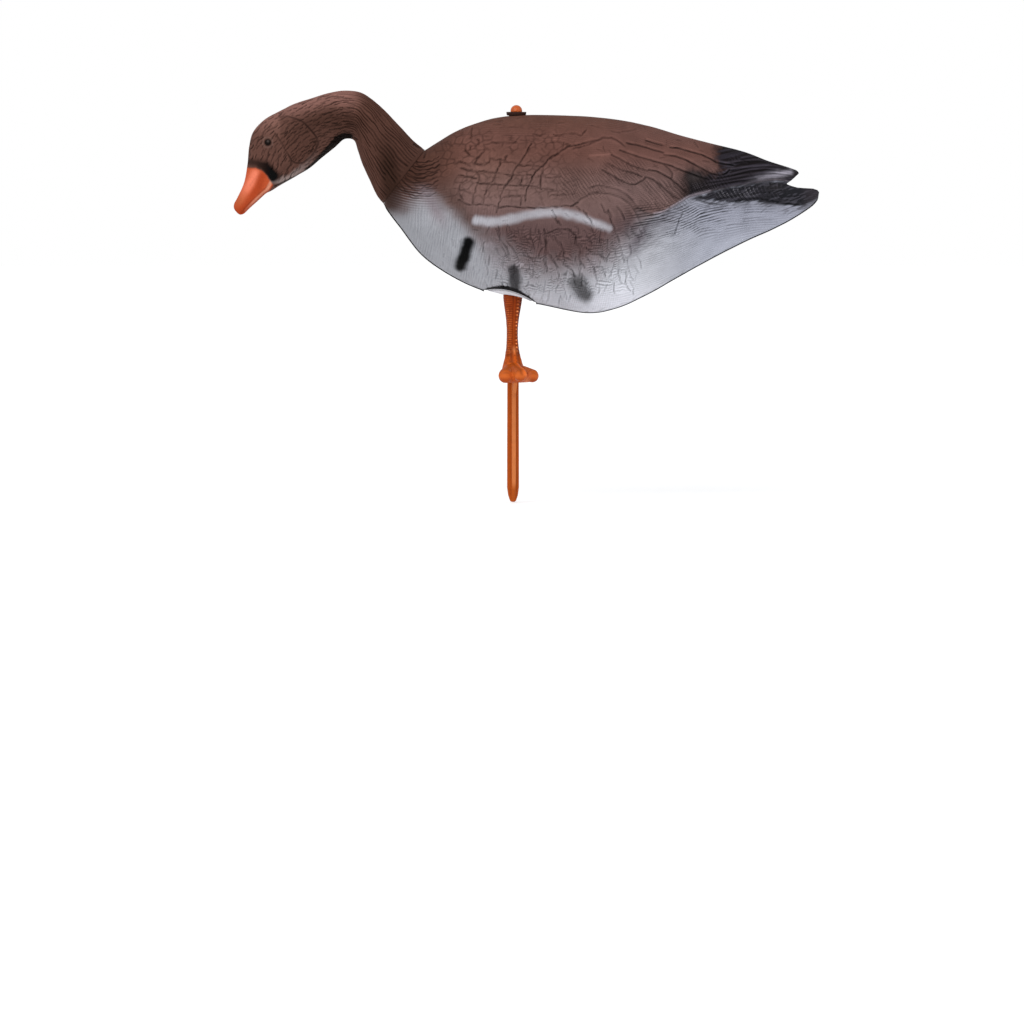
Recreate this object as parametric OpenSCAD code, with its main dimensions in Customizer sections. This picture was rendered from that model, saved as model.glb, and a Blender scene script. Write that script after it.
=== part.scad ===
// Full-body foam goose decoy, feeding pose, on a leg stake.
// Frame: origin on the spike's axis at the sole of the foot (ground level),
// +Z up, the bill points to -X and the tail to +X, the toes point to -Y.

/* [Foam shells] */
// Wall thickness of the moulded foam
wall = 6; // [4:0.5:8]
// Where the foam body's own zero lies along the decoy
body_x = 2.4; // [0:0.2:4]
// Steps between two stations of a shell (smoothness)
steps = 2; // [1:1:4]
// Facets around half a section
arc_n = 22; // [12:2:36]

/* [Rod and knob] */
// Place of the rod and of the swivel axis along the decoy
rod_x = 4; // [3:0.5:5]
// Radius of the rod inside the body
rod_r = 5; // [4.5:0.1:5.2]
// Radius of the rod's neck, on which the grommet turns
neck_r = 4; // [3.5:0.1:4.2]
// Running clearance of the grommet on the neck (radial)
run_gap = 0.05; // [0.02:0.01:0.1]
// Height of the shoulder that carries the body
shoulder_z = 307.5; // [306:0.5:308]
// Diameter of the ball on top
ball_d = 14; // [12:0.5:15]

/* [Grommet] */
// Radius of the grommet's flange
flange_r = 12; // [11:0.5:13]
// Radius of the grommet's sleeve through the foam
sleeve_r = 9; // [8:0.5:9.5]
// Height of the seat of the flange on the back
seat_z = 319.4; // [318:0.1:320]

/* [Neck joint] */
// Pitch of the neck's pull-out axis above the level
pull_deg = 38.4; // [36:0.1:41]
// Depth of the tongue in the collar
tongue_len = 50; // [40:1:55]
// Gap between the head's rim and the body's rim
collar_gap = 0.4; // [0.3:0.1:0.8]

/* [Belly] */
// Radius of the round opening in the belly
belly_r = 31; // [29:0.5:32]
// Radius of the leg's clearance hole in the insert
leg_hole_r = 17; // [16.5:0.1:17.5]

/* [Leg stake] */
// How far the foot is turned about the spike's axis
foot_yaw = 9; // [0:1:15]
// Length of the ground spike below the sole
spike_len = 145; // [120:5:160]
// Width of the spike across the decoy's length
spike_w = 13.6; // [12:0.2:15]
// Depth of the spike along the foot
spike_d = 17.6; // [16:0.2:18]
// Thickness of the spike's ribs
rib_t = 4.6; // [4:0.2:6]
// How far the leg stands above the belly's hole, inside
leg_top = 130; // [126:1:134]
// Depth of the rod's socket in the leg
socket_len = 34; // [30:1:36]

/* [Hidden] */

foam_brown = [0.42, 0.31, 0.28];
foam_pale = [0.74, 0.74, 0.77];
orange = [0.74, 0.36, 0.12];
dark = [0.16, 0.10, 0.09];

// Stations of the body: top x, top z, bottom x, bottom z, half width.
BODY = [
  [-108, 278, -158, 214, 36], [ -92, 288, -138, 187, 48], [ -72, 300, -112, 154, 61],
  [ -50, 309,  -80, 130, 76], [ -22, 317,  -45, 113, 88], [  10, 320,  -10, 103, 94],
  [  45, 320,   35,  93, 96], [  90, 318,   85,  84, 97], [ 125, 314,  120,  89, 95],
  [ 160, 307,  155, 104, 88], [ 198, 296,  195, 126, 76], [ 236, 286,  234, 148, 61],
  [ 275, 276,  275, 169, 47], [ 304, 265,  306, 183, 38], [ 330, 257,  332, 196, 31],
  [ 352, 248,  356, 212, 25], [ 365, 238,  365, 224, 17]];
BODY_HOLLOW = 12;

// Stations of the neck, head and bill, from the collar to the bill's tip.
HEAD = [
  [-108, 278, -158, 214, 36], [-122, 289, -166, 225, 32], [-138, 306, -173, 240, 29],
  [-157, 326, -183, 262, 27], [-172, 339, -188, 277, 26], [-186, 347, -193, 290, 25],
  [-205, 349, -205, 291, 25], [-224, 346, -217, 281, 26], [-244, 340, -232, 269, 28],
  [-263, 334, -246, 257, 30], [-282, 325, -261, 248, 30], [-300, 315, -273, 241, 28],
  [-314, 300, -285, 234, 24], [-319, 282, -293, 229, 20], [-321, 262, -299, 226, 16],
  [-325, 240, -309, 217, 13], [-333, 222, -319, 208, 10.5], [-340, 210, -329, 198, 7]];
HEAD_HOLLOW = 10;

// Smooth curve through four values, t from 0 to 1 between b and c.
function cr(a, b, c, d, t) =
  b + t / 2 * (c - a + t * (2 * a - 5 * b + 4 * c - d + t * (3 * (b - c) + d - a)));
function pick(s, i) = s[min(max(i, 0), len(s) - 1)];
// The stations with steps more of them between each two.
function refine(s, n) = concat(
  [for (i = [0 : len(s) - 2], k = [0 : n - 1])
    cr(pick(s, i - 1), s[i], s[i + 1], pick(s, i + 2), k / n)], [s[len(s) - 1]]);
// Move a station's edges inwards by d.
function inset(q, d) =
  let (v = [q[2] - q[0], q[3] - q[1]], u = v / norm(v))
  [q[0] + u[0] * d, q[1] + u[1] * d, q[2] - u[0] * d, q[3] - u[1] * d, q[4] - d];
// Move a station along the pull-out axis.
function shifted(q, d) = [q[0] - d * cos(pull_deg), q[1] + d * sin(pull_deg),
                          q[2] - d * cos(pull_deg), q[3] + d * sin(pull_deg), q[4]];
// A point of a section: a from 0 (top) to 180 (bottom).
function at(q, a, side) =
  let (m = [(q[0] + q[2]) / 2, (q[1] + q[3]) / 2],
       h = [(q[0] - q[2]) / 2, (q[1] - q[3]) / 2],
       s = (a <= 0 || a >= 180) ? 0 : pow(sin(a), 0.95 + 0.15 * a / 180))
  [m[0] + h[0] * cos(a), side * q[4] * s, m[1] + h[1] * cos(a)];

// Half of a lofted form, on one side of the middle plane (side = -1 or 1).
// run is 1 for stations that run to +X and -1 for those that run to -X.
module half_loft(s, side, n = arc_n, run = 1) {
  r = len(s);
  w = n + 1;
  pts = [for (q = s, j = [0 : n]) at(q, 180 * j / n, side)];
  skin = [for (i = [0 : r - 2], j = [0 : n - 1], k = [0, 1])
    let (a = i * w + j, b = a + 1, c = a + w, d = c + 1)
    k == 0 ? [a, b, d] : [a, d, c]];
  flat = [for (i = [0 : r - 2], k = [0, 1])
    let (a = i * w, b = i * w + n, c = a + w, d = b + w)
    k == 0 ? [a, c, d] : [a, d, b]];
  front = [[for (j = [0 : n]) n - j]];
  rear = [[for (j = [0 : n]) (r - 1) * w + j]];
  all_faces = concat(skin, flat, front, rear);
  polyhedron(pts, side * run < 0 ? [for (f = all_faces) [for (k = [len(f) - 1 : -1 : 0]) f[k]]] : all_faces);
}

function upto(s, n) = [for (i = [0 : n]) s[i]];

module body_half(side) {
  translate([body_x, 0, 0]) half_loft(refine(BODY, steps), side);
}

module body_hollow(side) {
  in = [for (q = refine(upto(BODY, BODY_HOLLOW), steps)) inset(q, wall)];
  translate([body_x, 0, 0]) half_loft(concat([shifted(in[0], 8)], in), side);
}

module body_shell(side) {
  resize([0, 0, 0]) difference() {
    body_half(side);
    // hollow, a little past the middle plane so that both halves open to each other
    body_hollow(side);
    // wing tips stand clear above the tail
    translate([body_x, 100, 0]) rotate([90, 0, 0]) linear_extrude(200)
      polygon([[324, 238], [344, 262], [372, 262], [372, 232], [330, 232.5]]);
    // hole and seat of the grommet
    translate([rod_x, 0, 290]) cylinder(r = sleeve_r + 0.3, h = 50, $fn = 32);
    translate([rod_x, 0, seat_z]) cylinder(r = flange_r + 0.4, h = 10, $fn = 32);
    // round belly opening
    translate([body_x - 6, 0, 60]) cylinder(r = belly_r, h = 90, $fn = 48);
  }
}

module head_half(side) {
  s = refine(HEAD, steps);
  translate([body_x, 0, 0])
    half_loft(concat([shifted(s[0], collar_gap)], [for (i = [1 : len(s) - 1]) s[i]]), side, 18, -1);
}

module head_hollow(side) {
  in = [for (q = refine(upto(HEAD, HEAD_HOLLOW), steps)) inset(q, wall)];
  translate([body_x, 0, 0]) half_loft(concat([shifted(in[0], -8)], in), side, 18, -1);
}

module head_shell(side) {
  resize([0, 0, 0]) difference() {
    head_half(side);
    head_hollow(side);
  }
}

module body_shell_left() { color(foam_brown) body_shell(-1); }
module body_shell_right() { color(foam_brown) body_shell(1); }
module head_shell_left() { color(foam_brown) head_shell(-1); }
module head_shell_right() { color(foam_brown) head_shell(1); }

// Places a form on the collar: local Z is the pull-out axis, local X runs up the collar.
module on_collar() {
  translate([body_x - 133, 0, 246]) rotate([0, pull_deg - 90, 0]) children();
}

module oval(a, b, h) { linear_extrude(h) scale([a / b, 1]) circle(r = b, $fn = 40); }

module neck_plug() {
  color("silver") on_collar() {
    translate([0, 0, -tongue_len]) oval(33.2, 28.6, tongue_len + 3);
    translate([0, 0, 2.9]) oval(26, 21, 22);
  }
}

module back_eyelet() {
  color(dark) translate([rod_x, 0, 0]) difference() {
    union() {
      translate([0, 0, seat_z + 0.1]) cylinder(r1 = flange_r, r2 = flange_r - 1, h = 4.2, $fn = 64);
      translate([0, 0, shoulder_z + 0.3]) cylinder(r = sleeve_r, h = seat_z - shoulder_z, $fn = 64);
    }
    translate([0, 0, 300]) cylinder(r = neck_r + run_gap, h = 40, $fn = 64);
    translate([0, 0, 318 + ball_d / 2]) sphere(r = ball_d / 2 + 0.35, $fn = 64);
  }
}

module eyelet_washer() {
  color("dimgray") translate([rod_x, 0, shoulder_z + 1.5]) difference() {
    cylinder(r = 13, h = 2.5, $fn = 64);
    translate([0, 0, -1]) cylinder(r = sleeve_r + 0.1, h = 5, $fn = 64);
  }
}

module belly_insert() {
  color(foam_pale) resize([0, 0, 0]) difference() {
    intersection() {
      union() { body_half(-1); body_half(1); }
      translate([body_x - 6, 0, 60]) cylinder(r = belly_r - 0.4, h = 62, $fn = 48);
    }
    translate([rod_x, 0, 60]) cylinder(r = leg_hole_r, h = 90, $fn = 48);
  }
}

module support_rod() {
  color(orange) translate([rod_x, 0, 0]) {
    translate([0, 0, leg_top - socket_len + 0.5])
      cylinder(r = rod_r, h = shoulder_z - 4 - leg_top + socket_len, $fn = 48);
    translate([0, 0, shoulder_z - 4]) cylinder(r = 7.5, h = 4, $fn = 48);
    translate([0, 0, shoulder_z - 0.5]) cylinder(r = neck_r, h = 318 - shoulder_z, $fn = 64);
    translate([0, 0, 317]) cylinder(r = 2.6, h = 10, $fn = 32);
  }
}

module ball_knob() {
  color(orange) translate([rod_x, 0, 318 + ball_d / 2]) difference() {
    sphere(r = ball_d / 2, $fn = 64);
    translate([0, 0, -ball_d / 2 - 1]) cylinder(r = 2.65, h = 10.3, $fn = 32);
    translate([-10, -10, -ball_d / 2 - 1]) cube([20, 20, 1.6]);
  }
}

// A flat oval slice of the leg.
module slice(x, y, z, a, b, h = 1) {
  translate([x, y, z]) linear_extrude(h) scale([a / b, 1]) circle(r = b, $fn = 32);
}

module leg_stake() {
  color(orange) {
    difference() {
      rotate([0, 0, foot_yaw]) hull() {
        slice(0.3, 1.5, leg_top - 1, 10.6, 10.8);
        slice(0, 1.4, 100, 11.6, 11.4);
        slice(-0.2, 1.2, 92, 10.2, 10.6);
      }
      translate([rod_x, 0, leg_top - socket_len]) cylinder(r = rod_r + 0.02, h = socket_len + 1, $fn = 48);
    }
    rotate([0, 0, foot_yaw]) {
      hull() { slice(-0.2, 1.2, 92, 10.2, 10.6); slice(-0.8, 0, 66, 6.8, 8.6); }
      hull() { slice(-0.8, 0, 66, 6.8, 8.6); slice(-0.8, -1, 44, 7.2, 8.8); }
      hull() { slice(-0.8, -1, 44, 7.2, 8.8); slice(-0.5, -3, 16, 13, 13); }
      // webbed foot
      hull() {
        slice(-0.5, -2, 0, 10, 11, 22);
        translate([-16, -47, 9]) sphere(r = 9, $fn = 24);
        translate([16, -47, 8.5]) sphere(r = 8.5, $fn = 24);
        translate([0, -60, 10.5]) sphere(r = 8, $fn = 24);
      }
      // hind toe
      hull() {
        slice(-0.5, 4, 8, 6, 7, 16);
        translate([-0.5, 22, 21]) sphere(r = 3.5, $fn = 16);
      }
      // gusset ahead of the spike
      translate([rib_t / 2, 0, 0]) rotate([0, -90, 0]) linear_extrude(rib_t)
        polygon([[0.5, -6], [0.5, -20], [-14, -8.6], [-14, -6]]);
      // cross-ribbed spike with a tapered point
      intersection() {
        translate([0, 0, -spike_len]) linear_extrude(spike_len + 0.5) union() {
          square([spike_w, rib_t], center = true);
          square([rib_t, spike_d], center = true);
        }
        translate([0, 0, -spike_len]) union() {
          cylinder(r1 = 2, r2 = 5.6, h = 8, $fn = 48);
          translate([0, 0, 7.99]) cylinder(r1 = 5.6, r2 = 9.6, h = 26, $fn = 48);
          translate([0, 0, 33.9]) cylinder(r = 9.6, h = spike_len, $fn = 48);
        }
      }
    }
  }
}

body_shell_left();
body_shell_right();
head_shell_left();
head_shell_right();
neck_plug();
back_eyelet();
eyelet_washer();
belly_insert();
support_rod();
ball_knob();
leg_stake();
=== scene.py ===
"""Looks of a full-body foam goose decoy on a leg stake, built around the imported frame.

Lengths in the tables are millimetres in the frame's axes unless a table says otherwise.
The relief and paint of a side are drawn on a side drawing (u to the right, v down,
1.2 mm a unit) and wrapped on both halves, so that the two sides mirror each other.
"""

import math

import bpy
import bmesh
import numpy as np
from mathutils import Matrix, Vector


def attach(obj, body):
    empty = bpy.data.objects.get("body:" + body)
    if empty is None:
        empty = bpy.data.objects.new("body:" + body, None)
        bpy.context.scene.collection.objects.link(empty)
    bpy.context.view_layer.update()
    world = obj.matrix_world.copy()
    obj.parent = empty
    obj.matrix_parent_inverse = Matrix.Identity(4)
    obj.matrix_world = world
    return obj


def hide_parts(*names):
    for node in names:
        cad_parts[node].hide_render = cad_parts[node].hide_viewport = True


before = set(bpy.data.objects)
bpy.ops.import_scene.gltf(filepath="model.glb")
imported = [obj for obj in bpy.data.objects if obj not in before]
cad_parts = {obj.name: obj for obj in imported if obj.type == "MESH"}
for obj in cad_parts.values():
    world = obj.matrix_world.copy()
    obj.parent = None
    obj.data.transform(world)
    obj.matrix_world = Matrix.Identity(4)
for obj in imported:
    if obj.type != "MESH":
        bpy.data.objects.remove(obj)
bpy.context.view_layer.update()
SCENE = bpy.context.scene
MM = 0.001
PI = math.pi

# ------------------------------------------------------------------ numbers
BODY_X = 2.4          # the foam's own zero along the decoy
WALL = 6.0            # foam wall
ROD_X = 4.0           # rod and swivel axis
SEAT_Z = 319.4        # seat of the grommet's flange
PULL = math.radians(38.4)   # pitch of the neck joint's axis
COLLAR_GAP = 0.4
BELLY_R = 31.0
FOOT_YAW = math.radians(9.0)
SPIKE_LEN = 145.0

# Stations of the body: top x, top z, bottom x, bottom z, half width.
BODY = np.array([
    [-108, 278, -158, 214, 36], [-92, 288, -138, 187, 48], [-72, 300, -112, 154, 61],
    [-50, 309, -80, 130, 76], [-22, 317, -45, 113, 88], [10, 320, -10, 103, 94],
    [45, 320, 35, 93, 96], [90, 318, 85, 84, 97], [125, 314, 120, 89, 95],
    [160, 307, 155, 104, 88], [198, 296, 195, 126, 76], [236, 286, 234, 148, 61],
    [275, 276, 275, 169, 47], [304, 265, 306, 183, 38], [330, 257, 332, 196, 31],
    [352, 248, 356, 212, 25], [365, 238, 365, 224, 17]], float)
BODY_HOLLOW = 12
# Stations of the neck, head and bill, from the collar to the bill's tip.
HEAD = np.array([
    [-108, 278, -158, 214, 36], [-122, 289, -166, 225, 32], [-138, 306, -173, 240, 29],
    [-157, 326, -183, 262, 27], [-172, 339, -188, 277, 26], [-186, 347, -193, 290, 25],
    [-205, 349, -205, 291, 25], [-224, 346, -217, 281, 26], [-244, 340, -232, 269, 28],
    [-263, 334, -246, 257, 30], [-282, 325, -261, 248, 30], [-300, 315, -273, 241, 28],
    [-314, 300, -285, 234, 24], [-319, 282, -293, 229, 20], [-321, 262, -299, 226, 16],
    [-325, 240, -309, 217, 13], [-333, 222, -319, 208, 10.5], [-340, 210, -329, 198, 7]], float)
HEAD_HOLLOW = 10

# ------------------------------------------------------------------ the side drawing
DRAW_D, DRAW_EL = 6000.0, math.radians(4.0)   # drawn from 6 m away, 4 degrees above level
DRAW_C = (-1.2, 0.0, -157.2)                  # what the drawing is centred on


def drawing(P):
    """Side-drawing coordinates (u, v) of points in millimetres; both sides share one drawing."""
    x, y, z = P[..., 0] - DRAW_C[0], -np.abs(P[..., 1]), P[..., 2] - DRAW_C[2]
    c, s = math.cos(DRAW_EL), math.sin(DRAW_EL)
    k = 0.995 * DRAW_D / (DRAW_D + y * c - z * s) / 1.2
    return 512 + x * k, 512 - (y * s + z * c) * k


# Lines of the moulded relief on the side drawing: scale borders of the shoulder and back, feather edges of the wing and
# tail, ridges with a painted highlight, and grooves of the flank and breast.
SCALES = [
    [(531, 142.5), (528.5, 148), (524.5, 156.5), (518, 165), (513.5, 172), (510, 180.5), (505.5, 186), (501.5, 193.5), (499.5, 201.5), (497, 212.5)],
    [(564, 144), (562.5, 149), (557, 154), (550.5, 158), (544, 165), (537, 171.5), (533, 177), (529.5, 184.5), (526, 191.5), (524.5, 201.5)],
    [(516, 143), (506.5, 142.5), (495, 142.5), (484, 144.5), (484.5, 149), (481, 154), (476, 159.5), (475.5, 163.5), (480, 165.5), (485, 164.5), (489, 161), (489, 156)],
    [(489.5, 158.5), (496.5, 159.5), (504, 159.5), (507.5, 156)],
    [(500.5, 159.5), (500.5, 165), (498, 169), (495, 172), (488.5, 171.5), (483, 171), (478, 170.5)],
    [(495, 172), (494.5, 176), (492, 182), (488, 184), (483, 183.5), (477.5, 183)],
    [(488, 184), (486.5, 189), (484.5, 196), (483.5, 203.5)],
    [(477, 172), (479, 175.5), (478, 182), (476.5, 187.5), (473.5, 193), (472, 199.5), (473.5, 204.5)],
    [(467, 175.5), (466, 180.5), (464, 183), (460.5, 182.5)],
    [(504, 161.5), (510.5, 162), (518, 163.5)],
    [(518, 165.5), (527.5, 165.5), (535.5, 165.5), (541.5, 166.5)],
    [(495, 172), (503.5, 173.5), (511, 175), (521.5, 175.5), (531, 175)],
    [(478, 183.5), (488.5, 184), (500.5, 184.5), (507.5, 185.5), (528.5, 185.5), (538.5, 188), (554, 190)],
    [(467, 176), (472, 178), (477, 178.5)],
    [(460, 189.5), (465.5, 191.5), (470, 193), (473.5, 193.5)],
    [(503.5, 196), (512, 196.5), (520.5, 196.5)],
    [(538.5, 176), (551, 177.5), (561, 177)],
    [(543, 169), (541, 176), (540, 183), (541.5, 189.5)],
    [(523, 175), (521.5, 182), (520.5, 186)],
    [(521.5, 196.5), (520.5, 205.5)],
    [(554, 134.5), (562.5, 134.5), (569.5, 133.5), (576.5, 134), (582, 135), (585.5, 132), (586.5, 129)],
    [(533, 134), (538.5, 135.5), (545.5, 134)],
    [(552.5, 142), (562.5, 142.5), (566, 145), (571.5, 145.5)],
    [(465, 149.5), (467, 152.5), (470, 155)],
    [(460, 168), (465.5, 169.5), (471, 170.5), (477, 173)],
    [(477, 139), (479.5, 140.5), (478, 144.5)],
    [(472.5, 128.5), (471.5, 133.5), (470, 138.5)],
    [(458.5, 175), (464, 175), (467.5, 177)],
    [(455, 163.5), (460, 161.5), (465.5, 163.5), (470, 165.5)],
    [(573, 149), (580.5, 146.5), (589, 144), (596, 141)],
    [(470, 149.5), (471, 145.5), (477, 145)],
    [(460.5, 183), (458.5, 188), (460.5, 194.5), (463, 200)],
    [(458.5, 200), (464, 202.5), (470, 204.5), (478, 204.5), (489.5, 205), (499.5, 207), (514.5, 207), (521.5, 208), (534.5, 209), (545.5, 207), (562.5, 206.5), (573.5, 206.5)],
    [(549, 197), (552, 195), (562.5, 194.5), (576.5, 194.5)],
    [(573.5, 205.5), (579, 201), (586.5, 196), (592, 192.5), (600, 191)],
]
WING = {
    "P1": [(670, 147), (680.5, 148.5), (691, 151.5), (701, 154.5), (710, 158.5), (716.5, 162), (725.5, 164), (734, 165)],
    "P2": [(664, 154.5), (673.5, 155.5), (684, 159), (694.5, 164), (703, 169), (711.5, 173.5), (720, 175), (725.5, 173.5), (729.5, 169.5)],
    "P3": [(663.5, 163.5), (672, 166), (680.5, 169.5), (691, 173.5), (699.5, 176.5), (706.5, 178.5)],
    "P4": [(646, 140), (654, 142.5), (663.5, 145)],
    "P5": [(626.5, 142.5), (636, 144.5), (646, 147), (656.5, 150.5), (663.5, 152.5)],
    "P6": [(619.5, 150), (629, 153), (637.5, 156), (646, 158.5), (656.5, 161.5), (663.5, 163.5)],
    "P7": [(611.5, 154.5), (620.5, 159), (629, 163.5), (637.5, 167.5), (648.5, 170.5)],
    "P9": [(607.5, 162.5), (617, 167.5), (625.5, 170.5), (634, 172.5), (642, 176)],
    "P10": [(648.5, 169.5), (656.5, 171), (663.5, 174.5), (670, 178), (675.5, 182.5), (680.5, 187), (686.5, 192.5)],
    "P11": [(663.5, 163.5), (670, 169), (673, 173.5), (672, 179)],
    "P12": [(646, 176.5), (653, 179), (660, 184), (667, 190), (673, 196), (679, 198.5)],
    "P14": [(602, 169.5), (610, 173.5), (618.5, 179), (629, 183.5), (635, 184), (642, 180.5), (646, 176.5)],
    "P15a": [(587.5, 187.5), (598.5, 184.5), (610, 187), (618.5, 189), (627, 194), (632.5, 199.5), (637.5, 206.5), (644.5, 211.5), (654, 214), (663.5, 212), (672, 207), (680.5, 201.5), (688.5, 196.5)],
    "P15b": [(688.5, 196.5), (698, 194), (710, 191), (722, 188), (732, 186), (746, 184), (758, 182), (775.5, 179.5), (785, 180.5)],
    "bulge": [(574, 205.5), (580.5, 199.5), (589.5, 195), (599.5, 193.5), (610, 194.5), (620.5, 198), (629, 204), (635, 212.5), (639, 221), (644.5, 231.5)],
    "back1": [(573, 145.5), (586, 143), (597, 140.5), (603, 137.5), (611.5, 138), (619.5, 142), (625.5, 147)],
    "back2": [(560, 151.5), (567, 147), (573, 145.5)],
    "seam3": [(578, 203), (570.5, 206.5)],
    "in1": [(617, 206.5), (621, 211.5), (624.5, 220)],
    "in2": [(608, 210), (611.5, 217)],
    "W1": [(726, 164), (742.5, 161.5), (758, 160.5), (775.5, 163.5), (791.5, 169.5)],
    "W2": [(729.5, 170), (746, 168), (763, 166.5), (780.5, 167), (794, 170.5)],
    "W3": [(716, 178), (732, 175), (749.5, 170.5), (766.5, 169), (780.5, 170.5)],
    "W4": [(704.5, 183), (723.5, 180.5), (741, 177), (758, 174), (775.5, 173), (791, 175)],
    "W5": [(691, 191), (706.5, 186.5), (723.5, 183), (741, 180.5), (756.5, 178)],
    "W6": [(741, 159), (754.5, 156.5), (766.5, 160), (782, 165)],
    "tailtop": [(785.5, 188), (797.5, 189), (808, 189.5), (816.5, 191)],
    "tail1": [(696, 199.5), (706.5, 203), (722, 204.5), (739, 200), (756.5, 198), (773.5, 201), (787.5, 204), (799.5, 205)],
    "tail2": [(715, 199.5), (732, 196), (749.5, 194), (766.5, 192.5), (782, 191)],
}
RIDGES = [
    [(634, 184), (641, 188), (646, 194), (651.5, 201.5), (656.5, 210)],
    [(646, 179), (654.5, 186), (661.5, 194.5), (667.5, 204.5)],
    [(654, 214), (663.5, 212), (672, 207), (680.5, 201.5), (688.5, 196.5), (698, 194)],
    [(589.5, 155.5), (601.5, 155), (611.5, 154)],
    [(611.5, 155), (619.5, 159), (628, 163.5)],
]
FLANK = [
    [(544.5, 229), (545.5, 243.5), (544.5, 260.5), (547.5, 272.5)],
    [(560.5, 243.5), (563, 253), (564, 264), (571.5, 269.5), (575.5, 277.5)],
    [(570.5, 229), (575, 236), (579, 247.5), (580, 258.5), (584, 268.5)],
    [(585.5, 246.5), (590, 252.5), (601, 254.5), (604.5, 262)],
    [(588, 258.5), (593.5, 267.5), (595.5, 277.5)],
    [(551, 254.5), (555, 264), (556.5, 267.5)],
    [(595.5, 266), (602, 267), (604.5, 271.5), (604.5, 276)],
    [(551, 210.5), (555.5, 217.5), (560.5, 225)],
    [(583.5, 209.5), (590, 219.5), (594, 227)],
    [(601, 203), (610.5, 219.5), (616, 232.5), (620.5, 242)],
    [(682.5, 212), (678, 223.5), (674, 235)],
    [(574, 205), (580, 210.5)],
    [(543.5, 234.5), (556.5, 230), (567.5, 228), (574, 233.5)],
]
BREAST = [
    [(506.5, 241), (512, 247.5), (516.5, 254.5), (519, 260)],
    [(501, 239.5), (506.5, 247.5), (509.5, 255)],
    [(524.5, 250.5), (529, 257), (534.5, 263)],
    [(530, 235), (532.5, 242), (534.5, 249.5)],
    [(544, 235), (546, 249), (545.5, 260.5), (547.5, 272)],
    [(538.5, 229.5), (540, 238.5), (538, 247.5)],
    [(551, 258), (555.5, 265), (559, 268)],
    [(506.5, 226), (507.5, 237.5)],
    [(498, 226), (500, 234), (499.5, 242)],
    [(518, 228), (519.5, 237.5), (522.5, 244.5)],
    [(552, 216), (555.5, 220), (558.5, 224)],
    [(528, 290), (530.5, 295)],
    [(526, 265), (532.5, 264.5), (540.5, 265.5)],
]


# Lower border of the brown of the body, from the neck to the wing tips.
BROWN = [(380, 90), (380, 214), (394, 213), (402, 211), (411, 204), (420, 199), (430, 198), (438, 203), (447, 210),
         (458, 217), (468, 226), (478, 240), (492, 254), (508, 264), (530, 272), (560, 277), (588, 272), (612, 256),
         (634, 236), (648, 219), (660, 213.5), (672, 207), (680.5, 201.5), (688.5, 197), (698, 194.5), (710, 191.5),
         (732, 186.5), (746, 184.5), (758, 182.5), (775.5, 180), (786, 181), (799, 184), (830, 184), (830, 60), (380, 60)]
TAIL_DARK = [(692, 199), (710, 191), (732, 186), (758, 182), (785, 180), (800, 184), (822, 186), (824, 196), (806, 206), (795, 207),
             (780, 205), (757, 203), (734, 203.5), (715, 202)]
STRIPE = [(475, 220.5), (485, 221.6), (500, 221.2), (520, 216.8), (545, 212), (560, 212.6), (575, 216), (590, 221), (603, 226), (610, 228.5)]
BAR_1 = [(468.8, 241), (466.5, 248), (463.2, 258), (459.8, 267)]
BAR_2 = [(513, 268), (514, 276), (516, 288)]
BAR_3 = [(576, 282), (581, 289), (586, 296)]
BLACK = [(724, 138), (720, 150), (719, 158), (723, 164), (728, 170), (724, 175.5), (714, 177), (705, 176), (697, 173.5), (690, 172), (684, 176),
         (680, 183), (679, 191), (681, 200), (835, 200), (835, 138)]
THROAT_SEAM = [(275, 186), (303, 173), (320, 157), (337, 140), (345, 136), (351, 136.6)]
CHEEK = [(280, 117), (287, 116), (295.7, 118.6), (303.5, 122.5), (312, 131.5), (316.8, 137.5), (318, 143.6), (315.5, 150.5),
         (309.5, 158), (302.6, 163), (295.7, 163), (291.4, 161)]
CHEEK_2 = [(275, 133), (280, 140), (285.4, 149.6), (291.4, 160), (291, 165), (287, 170)]
BAND = [(249, 161.5), (257, 163), (264, 166.5), (269.5, 171.5), (273.5, 176)]
BILL = [(240, 166), (248, 168), (256, 168.2), (262, 171.2), (267, 176), (270.5, 181.5), (272.5, 185), (270, 190), (252, 212), (238, 224), (222, 222), (222, 190)]
CHIN = [(268, 179), (273, 181), (280, 181.5), (290, 177), (300, 170.5), (308, 164), (315, 157), (321, 149), (327, 143)]
EYE = (267.7, 142.3)
COLLAR_LINES = [[(401, 152), (408, 159), (416.5, 163.6), (425, 163.6), (433, 161.5), (439, 158)]]
NOTCH_LINES = [[(426.3, 149.6), (425.5, 153), (424, 158)], [(414.3, 144), (419, 147), (426.3, 149.6)]]

# ------------------------------------------------------------------ small maths


def lin(*c):
    """Linear colour of an sRGB one, 0 to 255."""
    c = np.array(c, float) / 255
    return np.where(c <= 0.04045, c / 12.92, ((c + 0.055) / 1.055) ** 2.4)


def smooth(a, b, x):
    t = np.clip((x - a) / (b - a), 0, 1)
    return t * t * (3 - 2 * t)


def _hash(ix, iy, iz, seed):
    h = (ix * 73856093) ^ (iy * 19349663) ^ (iz * 83492791) ^ (seed * 2654435761)
    h = (h ^ (h >> 13)) * 1274126177
    h = (h ^ (h >> 16)) & 0xFFFFFF
    return h / float(0xFFFFFF)


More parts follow.
